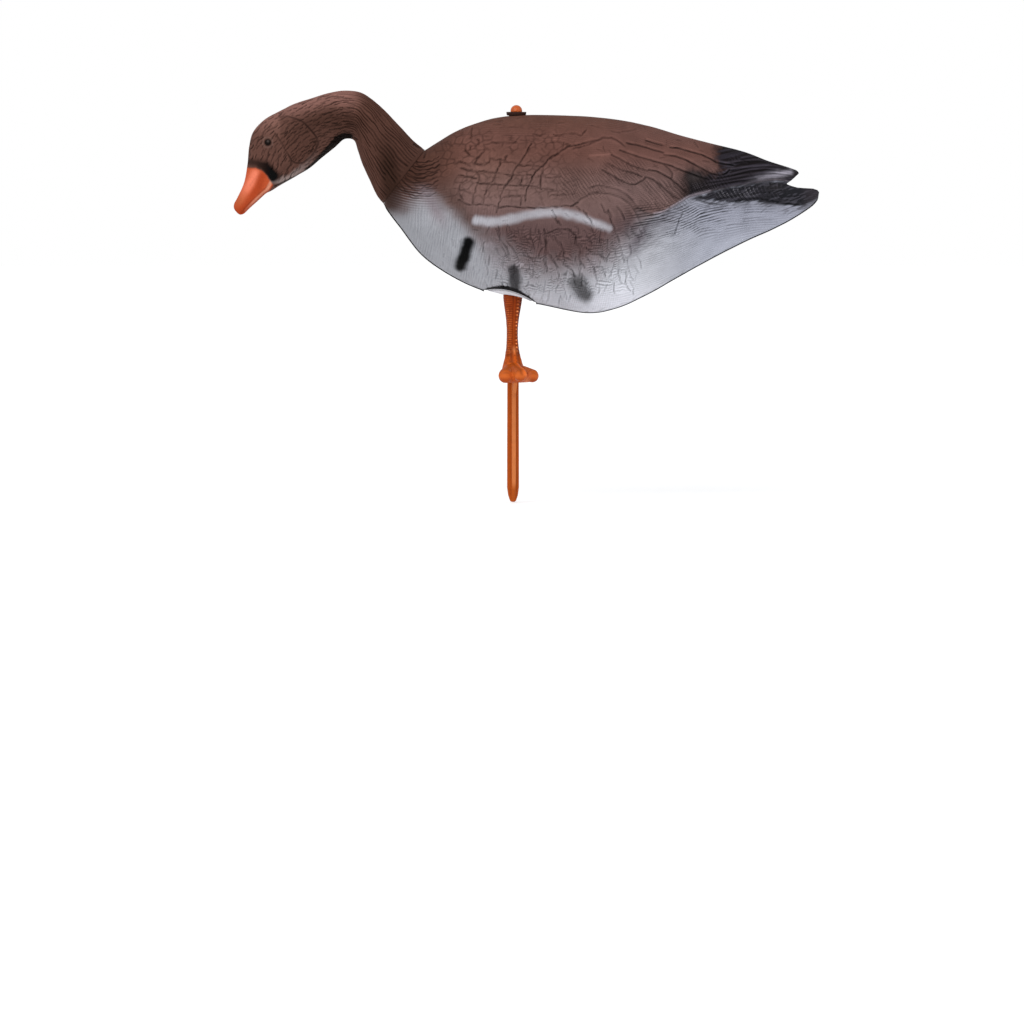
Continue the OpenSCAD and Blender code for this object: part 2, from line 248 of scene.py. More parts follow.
def noise(x, y=0.0, z=0.0, seed=1):
    """Smooth noise from -1 to 1, one lattice cell a unit."""
    x, y, z = np.broadcast_arrays(np.asarray(x, float), y, z)
    ix, iy, iz = (np.floor(q).astype(np.int64) for q in (x, y, z))
    fx, fy, fz = x - ix, y - iy, z - iz
    fx, fy, fz = (q * q * q * (q * (q * 6 - 15) + 10) for q in (fx, fy, fz))
    out = 0.0
    for a in (0, 1):
        for b in (0, 1):
            for c in (0, 1):
                w = (fx if a else 1 - fx) * (fy if b else 1 - fy) * (fz if c else 1 - fz)
                out = out + w * _hash(ix + a, iy + b, iz + c, seed)
    return out * 2 - 1


def fbm(x, y=0.0, z=0.0, seed=1, n=3):
    out, amp, tot = 0.0, 1.0, 0.0
    for k in range(n):
        out = out + amp * noise(np.asarray(x) * 2 ** k, np.asarray(y) * 2 ** k, np.asarray(z) * 2 ** k, seed + 17 * k)
        tot += amp
        amp *= 0.5
    return out / tot


def polyline(u, v, pts):
    """Distance to a line, signed side (+ on the left of its run with v down: above a line that runs to +u),
    and how far past its ends."""
    d = np.full(np.shape(u), 1e9)
    side = np.zeros(np.shape(u))
    past = np.zeros(np.shape(u))
    n = len(pts) - 1
    for i in range(n):
        (a, b), (c, e) = pts[i], pts[i + 1]
        du, dv = c - a, e - b
        L2 = du * du + dv * dv
        t = ((u - a) * du + (v - b) * dv) / L2
        tc = np.clip(t, 0, 1)
        q = np.hypot(u - a - tc * du, v - b - tc * dv)
        near = q < d
        d = np.where(near, q, d)
        side = np.where(near, np.sign((u - a) * dv - (v - b) * du), side)
        over = 0.0
        if i == 0:
            over = np.maximum(over, -t * math.sqrt(L2))
        if i == n - 1:
            over = np.maximum(over, (t - 1) * math.sqrt(L2))
        past = np.where(near, np.maximum(over, 0), past)
    return d, side, past


def inside(u, v, pts):
    """Signed distance to a closed outline, positive inside."""
    d, _, _ = polyline(u, v, list(pts) + [pts[0]])
    hit = np.zeros(np.shape(u), bool)
    n = len(pts)
    for i in range(n):
        (x1, y1), (x2, y2) = pts[i], pts[(i + 1) % n]
        if y1 == y2:
            continue
        cross = ((y1 > v) != (y2 > v)) & (u < (x2 - x1) * (v - y1) / (y2 - y1) + x1)
        hit ^= cross
    return np.where(hit, d, -d)


class Sheet:
    """A height map of a rectangle, with maps of painted shade and painted highlight, which lines are cut into. 3
    samples a unit.
    """

    def __init__(self, u0, u1, v0, v1, k=3):
        self.u0, self.v0, self.k = u0, v0, k
        self.nu, self.nv = int((u1 - u0) * k) + 1, int((v1 - v0) * k) + 1
        self.h = np.zeros((self.nv, self.nu))       # height, mm
        self.dark = np.zeros((self.nv, self.nu))    # painted shade in grooves and under raised edges
        self.light = np.zeros((self.nv, self.nu))   # painted highlight on ridges and beside grooves
        self.cell = np.full((self.nv, self.nu), 9.0)  # distance to the nearest scale border

    def _window(self, pts, r):
        p = np.array(pts)
        i0 = max(int((p[:, 0].min() - r - self.u0) * self.k), 0)
        i1 = min(int((p[:, 0].max() + r - self.u0) * self.k) + 2, self.nu)
        j0 = max(int((p[:, 1].min() - r - self.v0) * self.k), 0)
        j1 = min(int((p[:, 1].max() + r - self.v0) * self.k) + 2, self.nv)
        if i1 <= i0 or j1 <= j0:
            return None
        u = self.u0 + np.arange(i0, i1) / self.k
        v = self.v0 + np.arange(j0, j1) / self.k
        U, V = np.meshgrid(u, v)
        return (slice(j0, j1), slice(i0, i1)), U, V

    def groove(self, pts, depth=1.5, width=1.0, dark=1.0, cell=False, wob=0.45, seed=5):
        w = self._window(pts, 9.5)
        if w is None:
            return
        sl, U, V = w
        Uw = U + wob * noise(U / 4.0, V / 4.0, seed=seed)
        Vw = V + wob * noise(U / 4.0, V / 4.0, seed=seed + 1)
        d, _, past = polyline(Uw, Vw, pts)
        uneven = np.clip(0.90 + 0.40 * noise(U / 5.5, V / 5.5, seed=seed + 2), 0.35, 1.15)
        fade = np.exp(-past / 0.8) * uneven
        g = np.exp(-(d / width) ** 2) * fade
        self.h[sl] = np.minimum(self.h[sl], -depth * g) if depth > 0 else self.h[sl]
        # painted shade in the groove, and a painted highlight beside its two edges
        self.dark[sl] = np.maximum(self.dark[sl], dark * np.exp(-(d / (width * 0.85)) ** 2) * fade)
        self.light[sl] = np.maximum(self.light[sl], 0.45 * dark * np.exp(-((d - 1.9 * width) / (width * 0.9)) ** 2) * fade)
        if cell:
            self.cell[sl] = np.minimum(self.cell[sl], d + past * 0.6)

    def ridge(self, pts, height=1.2, width=1.1, light=0.8):
        w = self._window(pts, 5)
        if w is None:
            return
        sl, U, V = w
        d, _, past = polyline(U, V, pts)
        g = np.exp(-(d / width) ** 2) * np.exp(-past / 0.8)
        # the ridge stands up, with a painted highlight along it
        self.h[sl] = np.maximum(self.h[sl], height * g)
        self.light[sl] = np.maximum(self.light[sl], light * g)

    def step(self, pts, height, reach, raised=1, dark=0.8, soft=0.7):
        """An edge: the raised side stands proud and runs back to nothing over reach."""
        w = self._window(pts, reach * 2.2)
        if w is None:
            return
        sl, U, V = w
        d, side, past = polyline(U, V, pts)
        sd = d * side * raised
        up = smooth(-soft, soft, sd) * np.exp(-np.maximum(sd, 0) / reach) * np.exp(-past / 2.5) * smooth(reach * 2.1, reach, d)
        dark = dark * (0.82 + 0.25 * noise(U / 6.0, V / 6.0, seed=77))
        self.h[sl] += height * up
        # painted shadow under the raised edge, a dark painted line at its foot, and a painted highlight on its raised
        # lip
        under = np.where(sd < 0, np.exp(np.minimum(sd, 0) / 2.6), 0) * np.exp(-past / 1.0)
        self.dark[sl] = np.maximum(self.dark[sl], 0.42 * dark * under * (0.8 + 0.3 * noise(U / 3.0, V / 7.0, seed=78)))
        self.dark[sl] = np.maximum(self.dark[sl], dark * np.exp(-((sd + 0.6) / 0.85) ** 2) * np.exp(-past / 1.0))
        self.light[sl] = np.maximum(self.light[sl], 0.6 * dark * np.exp(-((sd - 1.3) / 1.1) ** 2) * np.exp(-past / 1.0))

    def sample(self, u, v, name):
        a = getattr(self, name)
        x = np.clip((u - self.u0) * self.k, 0, self.nu - 1.001)
        y = np.clip((v - self.v0) * self.k, 0, self.nv - 1.001)
        i, j = x.astype(int), y.astype(int)
        fx, fy = x - i, y - j
        return (a[j, i] * (1 - fx) * (1 - fy) + a[j, i + 1] * fx * (1 - fy)
                + a[j + 1, i] * (1 - fx) * fy + a[j + 1, i + 1] * fx * fy)


# ------------------------------------------------------------------ the relief of a side


def body_sheet():
    s = Sheet(372, 832, 88, 322)
    U, V = np.meshgrid(s.u0 + np.arange(s.nu) / s.k, s.v0 + np.arange(s.nv) / s.k)
    # each edge, groove and ridge below also lays painted shade and painted highlight into the sheet
    # broad forms: the folded wing stands proud of the flank, and pairs of feathers overlap
    s.step(WING["P15a"], 3.8, 22, 1, dark=0.9, soft=1.1)
    s.step(WING["P15b"], 3.4, 18, 1, dark=0.9, soft=0.9)
    s.step(WING["bulge"], 2.4, 14, -1, dark=0.85, soft=1.3)
    for k, hgt in (("P1", 1.3), ("P2", 1.5), ("P3", 1.4), ("P5", 1.0), ("P6", 1.2), ("P7", 1.2), ("P9", 1.0), ("P10", 1.4),
                   ("P12", 1.1), ("P14", 1.2), ("P4", 0.9), ("P11", 0.8)):
        s.step(WING[k], 1.5 * hgt, 7, 1, dark=1.15, soft=0.6)
    for k in ("P1", "P2", "P3", "P5", "P6", "P7", "P10", "P12", "P14"):
        s.groove(WING[k], 0.0, 0.85, 1.15 if k in ("P1", "P2", "P3", "P10") else 0.85, wob=0.3, seed=160 + len(k) + int(k[1:]))
    for k in ("W1", "W2", "W3", "W4", "W5", "W6"):
        s.step(WING[k], 1.5, 4.5, 1, dark=0.9, soft=0.7)
    # scale borders of the shoulder and back: grooves with pillows between them
    low = np.zeros_like(s.h)
    hold = s.h.copy()
    s.h = low
    for i, line in enumerate(SCALES):
        s.groove(line, 1.8, 0.9, (1.0, 1.0, 0.85, 0.8, 0.9, 0.85)[i] if i < 6 else 0.74, cell=True, wob=1.0, seed=11 + i)
    for k in ("back1", "back2", "seam3", "in1", "in2"):
        s.groove(WING[k], 1.6, 1.0, 1.0, cell=True)
    for i, line in enumerate(FLANK):
        s.groove(line, 1.5, 0.85, 0.85, cell=True, wob=1.1, seed=31 + i)
    for i, line in enumerate(BREAST):
        s.groove(line, 1.0, 0.8, 0.75, seed=51 + i)
    for k in ("tail1", "tail2"):
        s.groove(WING[k], 1.1, 1.1, 0.9)
    base = COLLAR_LINES[0]
    for k in range(15):
        line = [(a - 0.25 * k + (2.0 if k % 2 else 0), b - 1.5 + 2.6 * k + 0.5 * math.sin(2.1 * k)) for a, b in base]
        if k % 3 == 1:
            line = line[:-1]
        s.groove(line, 1.1, 0.72, 1.1 - 0.03 * k, wob=1.1, seed=70 + k)
    for k in range(0):
        s.groove([(409 + 2.9 * k, 186 + 1.4 * abs(k - 5)), (412 + 2.9 * k, 196), (417 + 2.8 * k, 209)], 0.8, 0.85, 0.7, wob=1.0, seed=90 + k)
    for line in NOTCH_LINES:
        s.groove(line, 1.6, 1.1, 1.0)
    pillow = 1.6 * (1 - np.exp(-(s.cell / 4.2) ** 2)) * np.where(s.cell < 9, smooth(9, 7.5, s.cell) * 0.6 + 0.4, 0.4)
    s.h = s.h + hold + pillow
    # ridges, each with a painted highlight along it
    for line in RIDGES:
        s.ridge(line, 1.0, 1.0, 0.8)
    # loose short strokes where the back has no drawn scales
    rng = np.random.RandomState(7)
    extra = 0
    while extra < 300:
        a, b = rng.uniform(440, 800), rng.uniform(112, 300)
        j, i = int((b - s.v0) * s.k), int((a - s.u0) * s.k)
        if s.cell[j, i] < 4.5 or abs(s.dark[j, i]) > 0.2 or (a > 606 and b > 214):
            extra += 0.2
            continue
        if inside(np.array(a), np.array(b), BROWN) > 0:
            th = math.radians(rng.uniform(20, 75)) if rng.rand() < 0.7 else math.radians(rng.uniform(-20, 15))
        else:
            th = math.radians(rng.uniform(-40, -8)) if a > 600 else math.radians(rng.uniform(70, 110))
        L = rng.uniform(3, 8)
        if b < 142 and a < 640:
            th, L = math.radians(rng.uniform(-14, 14)), rng.uniform(4, 12)
        c, e = a + L * math.cos(th), b + L * math.sin(th)
        s.groove([(a, b), ((a + c) / 2 + rng.uniform(-0.8, 0.8), (b + e) / 2), (c, e)], 0.6, 0.8, 0.42, seed=100 + int(extra))
        extra += 1
    done, tries = [], 0
    while len(done) < 120 and tries < 5000:
        tries += 1
        a, b = rng.uniform(484, 640), rng.uniform(224, 296)
        if any((a - p) ** 2 + ((b - q) * 0.6) ** 2 < 26 for p, q in done) or b > 300 - 0.25 * abs(a - 560):
            continue
        done.append((a, b))
        th = math.radians(rng.uniform(55, 85) if rng.rand() < 0.6 else rng.uniform(95, 112))
        L = rng.uniform(6, 14)
        c, e = a + L * math.cos(th), b + L * math.sin(th)
        s.groove([(a, b), ((a + c) / 2 + rng.uniform(-1.2, 1.2), (b + e) / 2), (c, e)], 0.9, 0.8, rng.uniform(0.4, 0.8), wob=0.8, seed=700 + len(done))
    s.U, s.V = U, V
    return s


def head_sheet():
    s = Sheet(218, 440, 84, 226)
    s.step(CHEEK, 1.0, 7, -1, dark=0.75, soft=0.8)
    s.step(CHEEK_2, 0.8, 6, 1, dark=0.6, soft=0.8)
    s.groove(CHEEK, 1.0, 0.8, 0.85, wob=0.2)
    s.groove(CHEEK_2, 0.9, 0.75, 0.8, wob=0.2)
    s.step([(245, 160), (249.7, 162), (258, 166), (264.7, 169.5), (270, 176), (273.5, 182)], 1.2, 6, 1, dark=0.0, soft=0.8)
    for line in NOTCH_LINES:
        s.groove(line, 1.4, 1.1, 1.0)
    # bill: parting line between the mandibles, and a nostril
    s.groove([(270, 184.5), (262, 191), (253, 199.5), (246, 207.5), (241, 213)], 0.9, 0.9, 0.55)
    s.groove([(254.5, 178.5), (251.5, 183), (250, 186)], 0.9, 1.0, 0.35, wob=0)
    # strokes that fan from the bill's base over the head
    rng = np.random.RandomState(23)
    done = []
    tries = 0
    while len(done) < 460 and tries < 16000:
        tries += 1
        a, b = rng.uniform(247, 350), rng.uniform(96, 184)
        if b > 187 - (a - 250) * 0.0 or inside(np.array(a), np.array(b), BILL) > -7:
            continue
        if any((a - p) ** 2 * 0.6 + (b - q) ** 2 < 5.2 for p, q in done):
            continue
        done.append((a, b))
        r = math.hypot(a - 262, b - 172)
        th = math.radians(np.interp(r, [0, 20, 45, 75], [80, 62, 40, 12])) + rng.uniform(-0.16, 0.16)
        if a > 300:
            th = math.radians(np.interp(a, [300, 325, 350], [38, 18, -12])) + rng.uniform(-0.12, 0.12)
        L = rng.uniform(3.5, 8)
        c, e = a + L * math.cos(th), b - L * math.sin(th)
        s.groove([(a, b), ((a + c) / 2 + rng.uniform(-0.5, 0.5), (b + e) / 2 + rng.uniform(-0.5, 0.5)), (c, e)],
                 rng.uniform(0.7, 1.1), 0.68, rng.uniform(0.6, 1.0), wob=0.7, seed=200 + len(done))
    return s


# ------------------------------------------------------------------ lofts


def between(S, u):
    """Stations at places u (0 to len-1) on the smooth curve through them."""
    k = len(S)
    u = np.clip(np.asarray(u, float), 0, k - 1)
    i = np.minimum(np.floor(u).astype(int), k - 2)
    t = (u - i)[:, None]
    a, b, c, d = S[np.maximum(i - 1, 0)], S[i], S[i + 1], S[np.minimum(i + 2, k - 1)]
    return b + t / 2 * (c - a + t * (2 * a - 5 * b + 4 * c - d + t * (3 * (b - c) + d - a)))


def even(S, n, end_r=0.0, last=None):
    """n stations evenly spaced along the form, the last end_r of it rounded over."""
    u = np.linspace(0, (len(S) - 1) if last is None else last, 4000)
    Q = between(S, u)
    top, bot = np.diff(Q[:, :2], axis=0), np.diff(Q[:, 2:4], axis=0)
    step = 0.35 * np.hypot(*top.T) + 0.35 * np.hypot(*bot.T) + 0.3 * np.hypot(*((top + bot) / 2).T)
    L = np.concatenate([[0], np.cumsum(step)])
    want = np.linspace(0, L[-1], n)
    if end_r:
        # closer rows where the end rounds over
        t = np.linspace(0, 1, n)
        want = L[-1] * (t + 0.012 * np.sin(PI * t) * t)
        want = np.clip(want, 0, L[-1])
    Q = between(S, np.interp(want, L, u))
    if end_r:
        q = np.clip(1 - (L[-1] - want) / end_r, 0, 1)
        cut = end_r * 0.82 * (1 - np.sqrt(np.clip(1 - q * q, 0, 1)))
        v = Q[:, 2:4] - Q[:, :2]
        v = v / np.linalg.norm(v, axis=1)[:, None]
        Q[:, :2] += v * cut[:, None]
        Q[:, 2:4] -= v * cut[:, None]
        Q[:, 4] -= cut
    return Q


def skin(Q, A, side):
    """Points of the stations' sections at angles A from the top; one side of the middle plane."""
    m, h = (Q[:, :2] + Q[:, 2:4]) / 2, (Q[:, :2] - Q[:, 2:4]) / 2
    s = np.sin(A) ** (0.95 + 0.15 * A / PI)
    s[np.isclose(A, 0) | np.isclose(A, PI)] = 0
    P = np.zeros((len(Q), len(A), 3))
    P[..., 0] = m[:, 0:1] + h[:, 0:1] * np.cos(A) + BODY_X
    P[..., 2] = m[:, 1:2] + h[:, 1:2] * np.cos(A)
    P[..., 1] = side * Q[:, 4:5] * s
    return P


def normals(P, flip):
    a, b = np.gradient(P, axis=0), np.gradient(P, axis=1)
    n = np.cross(a, b)
    n /= np.maximum(np.linalg.norm(n, axis=2), 1e-9)[..., None]
    return -n if flip else n


def new_object(name, me):
    o = bpy.data.objects.new(name, me)
    SCENE.collection.objects.link(o)
    return o


def mesh_from(name, verts, faces):
    me = bpy.data.meshes.new(name)
    me.from_pydata([tuple(v) for v in verts], [], faces)
    me.update()
    return me


def half_mesh(name, P, side, run):
    """A closed half: the skin, a flat seam on the middle plane, and two end faces. P is in millimetres."""
    I, J = P.shape[:2]
    idx = np.arange(I * J).reshape(I, J)
    a, b, c, d = idx[:-1, :-1], idx[:-1, 1:], idx[1:, 1:], idx[1:, :-1]
    quads = np.stack([a, b, c, d], -1).reshape(-1, 4)
    seam = np.stack([idx[:-1, 0], idx[1:, 0], idx[1:, -1], idx[:-1, -1]], -1)
    faces = [list(q) for q in quads] + [list(q) for q in seam]
    faces.append(list(idx[0, ::-1]))
    faces.append(list(idx[-1, :]))
    if side * run < 0:
        faces = [f[::-1] for f in faces]
    return mesh_from(name, P.reshape(-1, 3) * MM, faces)


def whole_mesh(name, Q, n):
    """A closed loft over both sides, for cutting."""
    A = np.linspace(0, PI, n)
    L, R = skin(Q, A, -1), skin(Q, A, 1)
    ring = np.concatenate([L, R[:, -2:0:-1]], axis=1)
    I, J = ring.shape[:2]
    idx = np.arange(I * J).reshape(I, J)
    nx = np.roll(idx, -1, axis=1)
    quads = np.stack([idx[:-1], nx[:-1], nx[1:], idx[1:]], -1).reshape(-1, 4)
    faces = [list(q) for q in quads] + [list(idx[0, ::-1]), list(idx[-1])]
    me = mesh_from(name, ring.reshape(-1, 3) * MM, faces)
    return outward(me)


def outward(me):
    bm = bmesh.new()
    bm.from_mesh(me)
    bmesh.ops.recalc_face_normals(bm, faces=bm.faces)
    bm.to_mesh(me)
    bm.free()
    return me


def tube_mesh(name, x, y, z0, z1, r, n=64):
    bm = bmesh.new()
    bmesh.ops.create_cone(bm, cap_ends=True, segments=n, radius1=r * MM, radius2=r * MM, depth=(z1 - z0) * MM,
                          matrix=Matrix.Translation((x * MM, y * MM, (z0 + z1) / 2 * MM)))
    me = bpy.data.meshes.new(name)
    bm.to_mesh(me)
    bm.free()
    return me


def prism_mesh(name, pts, y0, y1):
    """A prism over an outline in X and Z."""
    n = len(pts)
    v = [(x * MM, y0 * MM, z * MM) for x, z in pts] + [(x * MM, y1 * MM, z * MM) for x, z in pts]
    f = [list(range(n)), list(range(2 * n - 1, n - 1, -1))] + [[i, (i + 1) % n, (i + 1) % n + n, i + n] for i in range(n)]
    return outward(mesh_from(name, v, f))


def lathe_mesh(name, profile, x=0.0, y=0.0, n=96, closed=True):
    """Turned about a vertical axis: profile is (r, z) from the lower inside round; closed joins its ends."""
    p = np.array(profile, float)
    th = np.linspace(0, 2 * PI, n, endpoint=False)
    V = np.stack([p[:, 0:1] * np.cos(th) + x, p[:, 0:1] * np.sin(th) + y, np.repeat(p[:, 1:2], n, 1)], -1)
    m = len(p)
    idx = np.arange(m * n).reshape(m, n)
    rows = range(m) if closed else range(m - 1)
    faces = []
    for i in rows:
        k = (i + 1) % m
        for j in range(n):
            faces.append([idx[i, j], idx[i, (j + 1) % n], idx[k, (j + 1) % n], idx[k, j]])
    me = mesh_from(name, V.reshape(-1, 3) * MM, faces)
    bm = bmesh.new()
    bm.from_mesh(me)
    bmesh.ops.remove_doubles(bm, verts=bm.verts, dist=1e-7)
    bmesh.ops.recalc_face_normals(bm, faces=bm.faces)
    bm.to_mesh(me)
    bm.free()
    return me


def boolean(obj, tools, op="DIFFERENCE"):
    """Applies the tools to obj one by one; the tools are removed afterwards."""
    for me in tools:
        t = new_object("tool", me)
        m = obj.modifiers.new("b", "BOOLEAN")
        m.operation, m.solver, m.object = op, "MANIFOLD", t
        bpy.context.view_layer.update()
        made = bpy.data.meshes.new_from_object(obj.evaluated_get(bpy.context.evaluated_depsgraph_get()))
        n = len(made.polygons)
        if n < 10:
            print("boolean gave", n, "faces on", obj.name)
        obj.modifiers.clear()
        old = obj.data
        obj.data = made
        bpy.data.meshes.remove(old)
        bpy.data.objects.remove(t)
        bpy.data.meshes.remove(me)
    return obj


def points(me):
    co = np.zeros(len(me.vertices) * 3, np.float32)
    me.vertices.foreach_get("co", co)
    return co.reshape(-1, 3).astype(float) * 1000


def point_normals(me):
    n = np.zeros(len(me.vertices) * 3, np.float32)
    me.vertex_normals.foreach_get("vector", n)
    return n.reshape(-1, 3).astype(float)


def put(me, name, values, kind="FLOAT"):
    a = me.attributes.get(name) or me.attributes.new(name, kind, "POINT")
    if kind == "FLOAT_COLOR":
        v = np.concatenate([values, np.ones((len(values), 1))], 1).astype(np.float32)
        a.data.foreach_set("color", v.ravel())
    else:
        a.data.foreach_set("value", np.asarray(values, np.float32))


def smooth_shade(obj, angle=40):
    me = obj.data
    me.polygons.foreach_set("use_smooth", np.ones(len(me.polygons), bool))
    bm = bmesh.new()
    bm.from_mesh(me)
    lim = math.radians(angle)
    for e in bm.edges:
        e.smooth = not (len(e.link_faces) == 2 and e.calc_face_angle(0) > lim)
    bm.to_mesh(me)
    bm.free()
    me.update()


# ------------------------------------------------------------------ relief and paint by place


def top_scales(x, t, cell=15.0, seed=3):
    """Distance from the borders of irregular scales, in millimetres: x along the back, t round from its ridge."""
    gx, gt = x / cell, t / (cell * 0.8)
    gx = gx + 0.25 * noise(x / 22, t / 22, seed=seed)
    gt = gt + 0.25 * noise(x / 22, t / 22, seed=seed + 1)
    ix, it = np.floor(gx).astype(np.int64), np.floor(gt).astype(np.int64)
    f1 = np.full(x.shape, 9.0)
    f2 = np.full(x.shape, 9.0)
    for a in (-1, 0, 1):
        for b in (-1, 0, 1):
            cx, ct = ix + a, it + b
            px = cx + 0.5 + 0.34 * (_hash(cx, ct, ct * 0, seed + 5) * 2 - 1) + 0.5 * (ct % 2)
            pt = ct + 0.5 + 0.30 * (_hash(cx, ct, ct * 0, seed + 6) * 2 - 1)
            d = np.hypot((gx - px), (gt - pt))
            f2 = np.where(d < f1, f1, np.minimum(f2, d))
            f1 = np.minimum(f1, d)
    return (f2 - f1) * cell * 0.5


BODY_SHEET = body_sheet()
HEAD_SHEET = head_sheet()


def round_from_top(P, N):
    """How far round from the ridge of the back a point is, roughly, in millimetres."""
    return np.abs(P[..., 1]) * (1 + 0.25 * (1 - np.clip(N[..., 2], 0, 1)))


def barbs(u, v):
    """Slanting barbs of the tail's dark feathers, -1 to 1."""
    return np.cos(2 * PI * (u - 0.5 * (v - 191) - 0.03 * (v - 191) ** 2 + 0.5 * noise(u / 9, v / 9, seed=48)) / 4.1)


def body_relief(P, N):
    """Height, painted groove shade and painted highlight of the body's skin at points P with normals N."""
    u, v = drawing(P)
    facing = smooth(0.10, 0.42, np.abs(N[..., 1]))
    hgt = BODY_SHEET.sample(u, v, "h") * facing
    dark = BODY_SHEET.sample(u, v, "dark") * facing
    light = BODY_SHEET.sample(u, v, "light") * facing
    # over the back, where the side drawing can't reach, the scales run on
    up = smooth(0.3, 0.6, N[..., 2]) * (1 - facing) * smooth(-95, -60, P[..., 0]) * smooth(330, 250, P[..., 0])
    e = top_scales(P[..., 0], round_from_top(P, N), 17.0)
    brk = smooth(-0.35, 0.1, noise(P[..., 0] / 14, P[..., 1] / 9, seed=61))
    g = np.exp(-(e / 1.5) ** 2) * brk
    hgt = hgt + up * (0.4 * (1 - np.exp(-(e / 3.6) ** 2)) - 0.8 * g) * smooth(3, 16, np.abs(P[..., 1]))
    dark = np.maximum(dark, 0.6 * g * up)
    # long feather edges on top of the folded wings, near the tail
    ph = np.abs(P[..., 1]) / 6.5 + (P[..., 0] - 200) * 0.012 + 0.2 * noise(P[..., 0] / 30, P[..., 1] / 8, seed=9)
    q = np.abs(ph - np.round(ph))
    wing = smooth(0.3, 0.6, N[..., 2]) * (1 - facing) * smooth(200, 270, P[..., 0])
    gw = np.exp(-(q / 0.10) ** 2)
    hgt = hgt - wing * 0.7 * gw * smooth(3, 12, np.abs(P[..., 1]))
    dark = np.maximum(dark, 0.8 * gw * wing)
    # small irregular scales between and beyond the drawn ones of the shoulder
    sh = np.exp(-(np.maximum(np.abs(u - 500) - 45, 0) / 26) ** 2 - (np.maximum(np.abs(v - 166) - 24, 0) / 16) ** 2) * facing
    e = top_scales(u + 0.35 * (v - 160), v, 8.5, seed=12)
    g = np.exp(-(e / 0.75) ** 2) * smooth(-0.5, 0.3, noise(u / 9, v / 6, seed=62)) * sh
    hgt = hgt - 0.55 * g
    dark = np.maximum(dark, 0.5 * g)
    light = np.maximum(light, 0.4 * np.exp(-((e - 1.6) / 0.7) ** 2) * sh * smooth(-0.3, 0.5, noise(u / 7, v / 7, seed=63)))
    # low undulation of a moulded, slightly soft skin
    hgt = hgt + 0.35 * fbm(P[..., 0] / 34, P[..., 1] / 34, P[..., 2] / 34, seed=4, n=2)
    # hanging hair lines of the breast
    br = smooth(196, 212, v) * smooth(520, 480, u) * smooth(392, 402, u) * facing
    ph = (u + 0.001 * (v - 235) ** 2 + 0.16 * (v - 235) + 1.5 * noise(u / 14, v / 26, seed=71)) / 2.9
    bl = np.cos(2 * PI * ph)
    br = br * smooth(-0.55, 0.15, noise(u / 5, v / 14, seed=64))
    hgt = hgt + 0.22 * bl * br
    dark = np.maximum(dark, 0.24 * smooth(0.1, 1.0, -bl) * br)
    light = np.maximum(light, 0.22 * smooth(0.2, 1.0, bl) * br)
    # wavy ladder of the flank
    fl = smooth(222, 236, v) * smooth(299, 284, v) * smooth(484, 510, u) * smooth(646, 612, u) * facing
    w = noise(u / 9, v / 9, seed=41)
    lad = np.cos(2 * PI * (v / 2.6 + 1.1 * w + 0.5 * noise(u / 3.6, v / 8, seed=42)))
    fl = fl * smooth(-0.5, 0.2, noise(u / 8, v / 6, seed=43))
    hgt = hgt + 0.42 * lad * fl
    dark = np.maximum(dark, 0.66 * smooth(0.0, 0.9, -lad) * fl)
    light = np.maximum(light, 0.7 * smooth(0.2, 1.0, lad) * fl)
    # lines that rise towards the tail, on the rear of the belly
    rb = smooth(612, 640, u) * smooth(196, 212, v) * smooth(815, 770, u) * facing
    slope = np.interp(u.ravel(), [600, 640, 700, 760, 815], [0.05, 0.16, 0.30, 0.22, 0.15]).reshape(u.shape)
    ph = (v + slope * (u - 640) + 1.4 * noise(u / 22, v / 10, seed=45)) / 2.6
    ln = np.cos(2 * PI * ph)
    rb2 = rb * smooth(-0.5, 0.1, noise(u / 16, v / 5, seed=46)) * smooth(276, 236, v + 0.25 * (u - 640))
    near = smooth(252, 208, v + 0.1 * (u - 680)) * smooth(765, 700, u)
    hgt = hgt + 0.42 * ln * rb2
    dark = np.maximum(dark, (0.5 + 0.75 * near) * smooth(0.0, 0.8, -ln) * np.maximum(rb2, 0.8 * near * rb))
    light = np.maximum(light, 0.5 * smooth(0.3, 1.0, ln) * rb2 * near)
    # barbs across the coverts, and across the dark of the tail
    for (ua, ub, va, vb, sl, sp, amp) in ((556, 606, 166, 199, 0.95, 2.7, 0.28), (600, 645, 158, 186, 1.15, 2.7, 0.26),
                                          (640, 690, 178, 210, 1.1, 3.0, 0.26), (694, 730, 168, 192, 0.9, 3.0, 0.30)):
        m = smooth(ua - 4, ua + 8, u) * smooth(ub + 6, ub - 6, u) * smooth(va - 3, va + 6, v) * smooth(vb + 4, vb - 5, v) * facing
        b = np.cos(2 * PI * (u * 0.75 + (v * sl) * -0.62 + 1.0 * noise(u / 10, v / 10, seed=47)) / sp)
        hgt = hgt + amp * b * m
        dark = np.maximum(dark, 0.75 * smooth(0.1, 1, -b) * m)
        light = np.maximum(light, 0.5 * smooth(0.3, 1, b) * m)
    below = polyline(u, v, WING["P15b"] + [(800, 182)])
    m = smooth(706, 716, u) * smooth(792, 778, u) * smooth(2.0, 4.0, below[0]) * (below[1] < 0) * smooth(205, 199, v) * facing
    b = barbs(u, v)
    hgt = hgt + 0.55 * b * m
    dark = dark * (1 - 0.5 * m)
    light = np.maximum(light, 0.8 * smooth(0.45, 1, b) * m * smooth(-0.6, 0.3, noise(u / 7, v / 5, seed=49)))
    # the seam of the two halves
    s = np.exp(-(P[..., 1] / 1.3) ** 2)
    hgt = hgt - 0.55 * s
    return hgt, dark, light


